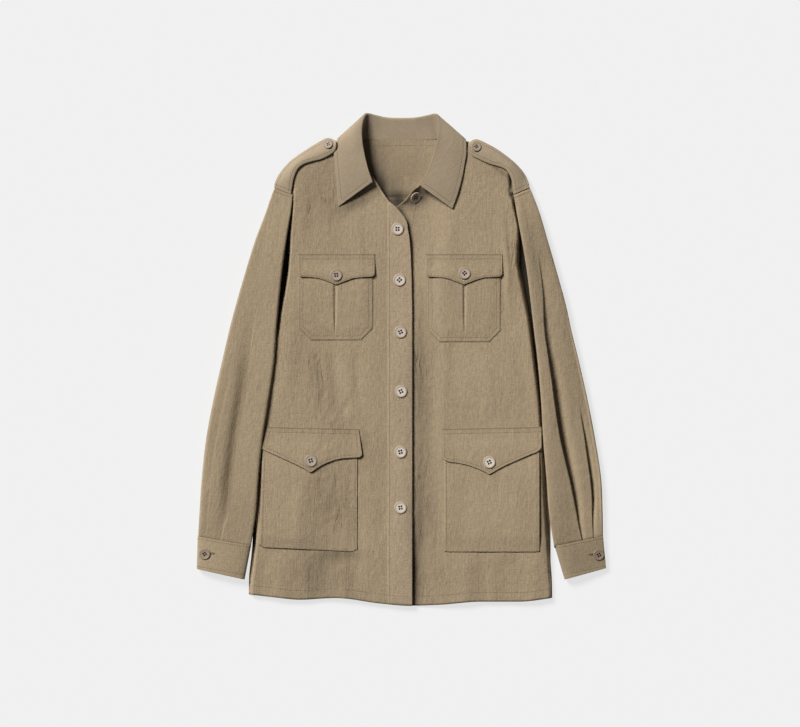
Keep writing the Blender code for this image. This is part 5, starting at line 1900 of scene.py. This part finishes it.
class JacketStage(bpy.types.PropertyGroup):
    """Floor, lights and camera."""

    floor_shade: bpy.props.FloatProperty(
        name="Floor", description="Lightness of the floor", default=0.15, min=0, max=1,
    )
    floor_glow: bpy.props.FloatProperty(
        name="Floor glow", description="Light that the floor gives of its own", default=0.72, min=0, max=2,
    )
    key_power: bpy.props.FloatProperty(name="Key light", description="Its strength", default=4.72, min=0)
    key_spread: bpy.props.FloatProperty(
        name="Key spread", description="Width of the soft key light in degrees", default=22.0, min=0, max=120,
    )
    key_height: bpy.props.FloatProperty(
        name="Key height", description="Degrees above the floor", default=38.0, min=5, max=90,
    )
    key_bearing: bpy.props.FloatProperty(
        name="Key bearing", description="Degrees round from the wearer's left", default=134.0,
    )
    room_light: bpy.props.FloatProperty(
        name="Room light", description="Even light from all round", default=0.075, min=0,
    )
    camera_distance: bpy.props.FloatProperty(
        name="Camera distance", description="Straight above the jacket", default=6.0, unit="LENGTH",
    )


class JacketOperator:
    """Shared settings of the jacket's operators."""

    bl_options = {"REGISTER"}

    def execute(self, context):
        self.make()
        return {"FINISHED"}


class JACKET_OT_back(JacketOperator, bpy.types.Operator):
    """Make the back panel and the yoke"""

    bl_idname = "jacket.back"
    bl_label = "Back and yoke"
    make = staticmethod(back_pieces)


class JACKET_OT_fronts(JacketOperator, bpy.types.Operator):
    """Make the two fronts with their folds and hems"""

    bl_idname = "jacket.fronts"
    bl_label = "Fronts"
    make = staticmethod(fronts)


class JACKET_OT_placket(JacketOperator, bpy.types.Operator):
    """Make the buttoned strip down the over front"""

    bl_idname = "jacket.placket"
    bl_label = "Placket"
    make = staticmethod(placket)


class JACKET_OT_collar(JacketOperator, bpy.types.Operator):
    """Make the folded collar with its two wings"""

    bl_idname = "jacket.collar"
    bl_label = "Collar"
    make = staticmethod(collar)


class JACKET_OT_straps(JacketOperator, bpy.types.Operator):
    """Make the shoulder straps"""

    bl_idname = "jacket.straps"
    bl_label = "Shoulder straps"
    make = staticmethod(straps)


class JACKET_OT_sleeves(JacketOperator, bpy.types.Operator):
    """Make the sleeves with their pleats"""

    bl_idname = "jacket.sleeves"
    bl_label = "Sleeves"
    make = staticmethod(sleeves)


class JACKET_OT_cuffs(JacketOperator, bpy.types.Operator):
    """Make the cuffs"""

    bl_idname = "jacket.cuffs"
    bl_label = "Cuffs"
    make = staticmethod(cuffs)


class JACKET_OT_chest_pockets(JacketOperator, bpy.types.Operator):
    """Make the pleated chest pockets"""

    bl_idname = "jacket.chest_pockets"
    bl_label = "Chest pockets"
    make = staticmethod(chest_pockets)


class JACKET_OT_chest_flaps(JacketOperator, bpy.types.Operator):
    """Make the flaps of the chest pockets"""

    bl_idname = "jacket.chest_flaps"
    bl_label = "Chest flaps"
    make = staticmethod(chest_flaps)


class JACKET_OT_hip_pockets(JacketOperator, bpy.types.Operator):
    """Make the hip pockets that stand out on a gusset"""

    bl_idname = "jacket.hip_pockets"
    bl_label = "Hip pockets"
    make = staticmethod(hip_pockets)


class JACKET_OT_hip_flaps(JacketOperator, bpy.types.Operator):
    """Make the flaps of the hip pockets"""

    bl_idname = "jacket.hip_flaps"
    bl_label = "Hip flaps"
    make = staticmethod(hip_flaps)


class JACKET_OT_buttons(JacketOperator, bpy.types.Operator):
    """Make all the buttons and the threads that hold them"""

    bl_idname = "jacket.buttons"
    bl_label = "Buttons"
    make = staticmethod(buttons)


class JACKET_OT_buttonholes(JacketOperator, bpy.types.Operator):
    """Work the buttonholes that show on the cuffs"""

    bl_idname = "jacket.buttonholes"
    bl_label = "Cuff buttonholes"
    make = staticmethod(cuff_buttonholes)


class JACKET_OT_stage(JacketOperator, bpy.types.Operator):
    """Set the floor, the lights and the camera"""

    bl_idname = "jacket.stage"
    bl_label = "Stage"
    make = staticmethod(stage)


OPERATORS = (
    JACKET_OT_stage, JACKET_OT_back, JACKET_OT_fronts, JACKET_OT_placket, JACKET_OT_collar, JACKET_OT_straps,
    JACKET_OT_sleeves, JACKET_OT_cuffs, JACKET_OT_chest_pockets, JACKET_OT_chest_flaps, JACKET_OT_hip_pockets,
    JACKET_OT_hip_flaps, JACKET_OT_buttons, JACKET_OT_buttonholes,
)


class JACKET_PT_pieces(bpy.types.Panel):
    """Lists the jacket's pieces and settings"""

    bl_label = "Utility jacket"
    bl_idname = "JACKET_PT_pieces"
    bl_space_type = "VIEW_3D"
    bl_region_type = "UI"
    bl_category = "Jacket"

    def draw(self, context):
        column = self.layout.column()
        for group in (context.scene.jacket_look, context.scene.jacket_stage):
            for name in group.__annotations__:
                column.prop(group, name)
        for operator in OPERATORS:
            column.operator(operator.bl_idname)


CLASSES = (JacketLook, JacketStage, *OPERATORS, JACKET_PT_pieces)


def register():
    for one in CLASSES:
        bpy.utils.register_class(one)
    bpy.types.Scene.jacket_look = bpy.props.PointerProperty(type=JacketLook)
    bpy.types.Scene.jacket_stage = bpy.props.PointerProperty(type=JacketStage)


def unregister():
    del bpy.types.Scene.jacket_look
    del bpy.types.Scene.jacket_stage
    for one in reversed(CLASSES):
        bpy.utils.unregister_class(one)


def main():
    register()
    bpy.ops.jacket.stage()
    bpy.ops.jacket.back()
    bpy.ops.jacket.fronts()
    bpy.ops.jacket.placket()
    bpy.ops.jacket.collar()
    bpy.ops.jacket.straps()
    bpy.ops.jacket.sleeves()
    bpy.ops.jacket.cuffs()
    bpy.ops.jacket.chest_pockets()
    bpy.ops.jacket.chest_flaps()
    bpy.ops.jacket.hip_pockets()
    bpy.ops.jacket.hip_flaps()
    bpy.ops.jacket.buttons()
    bpy.ops.jacket.buttonholes()


if __name__ == "__main__":
    main()
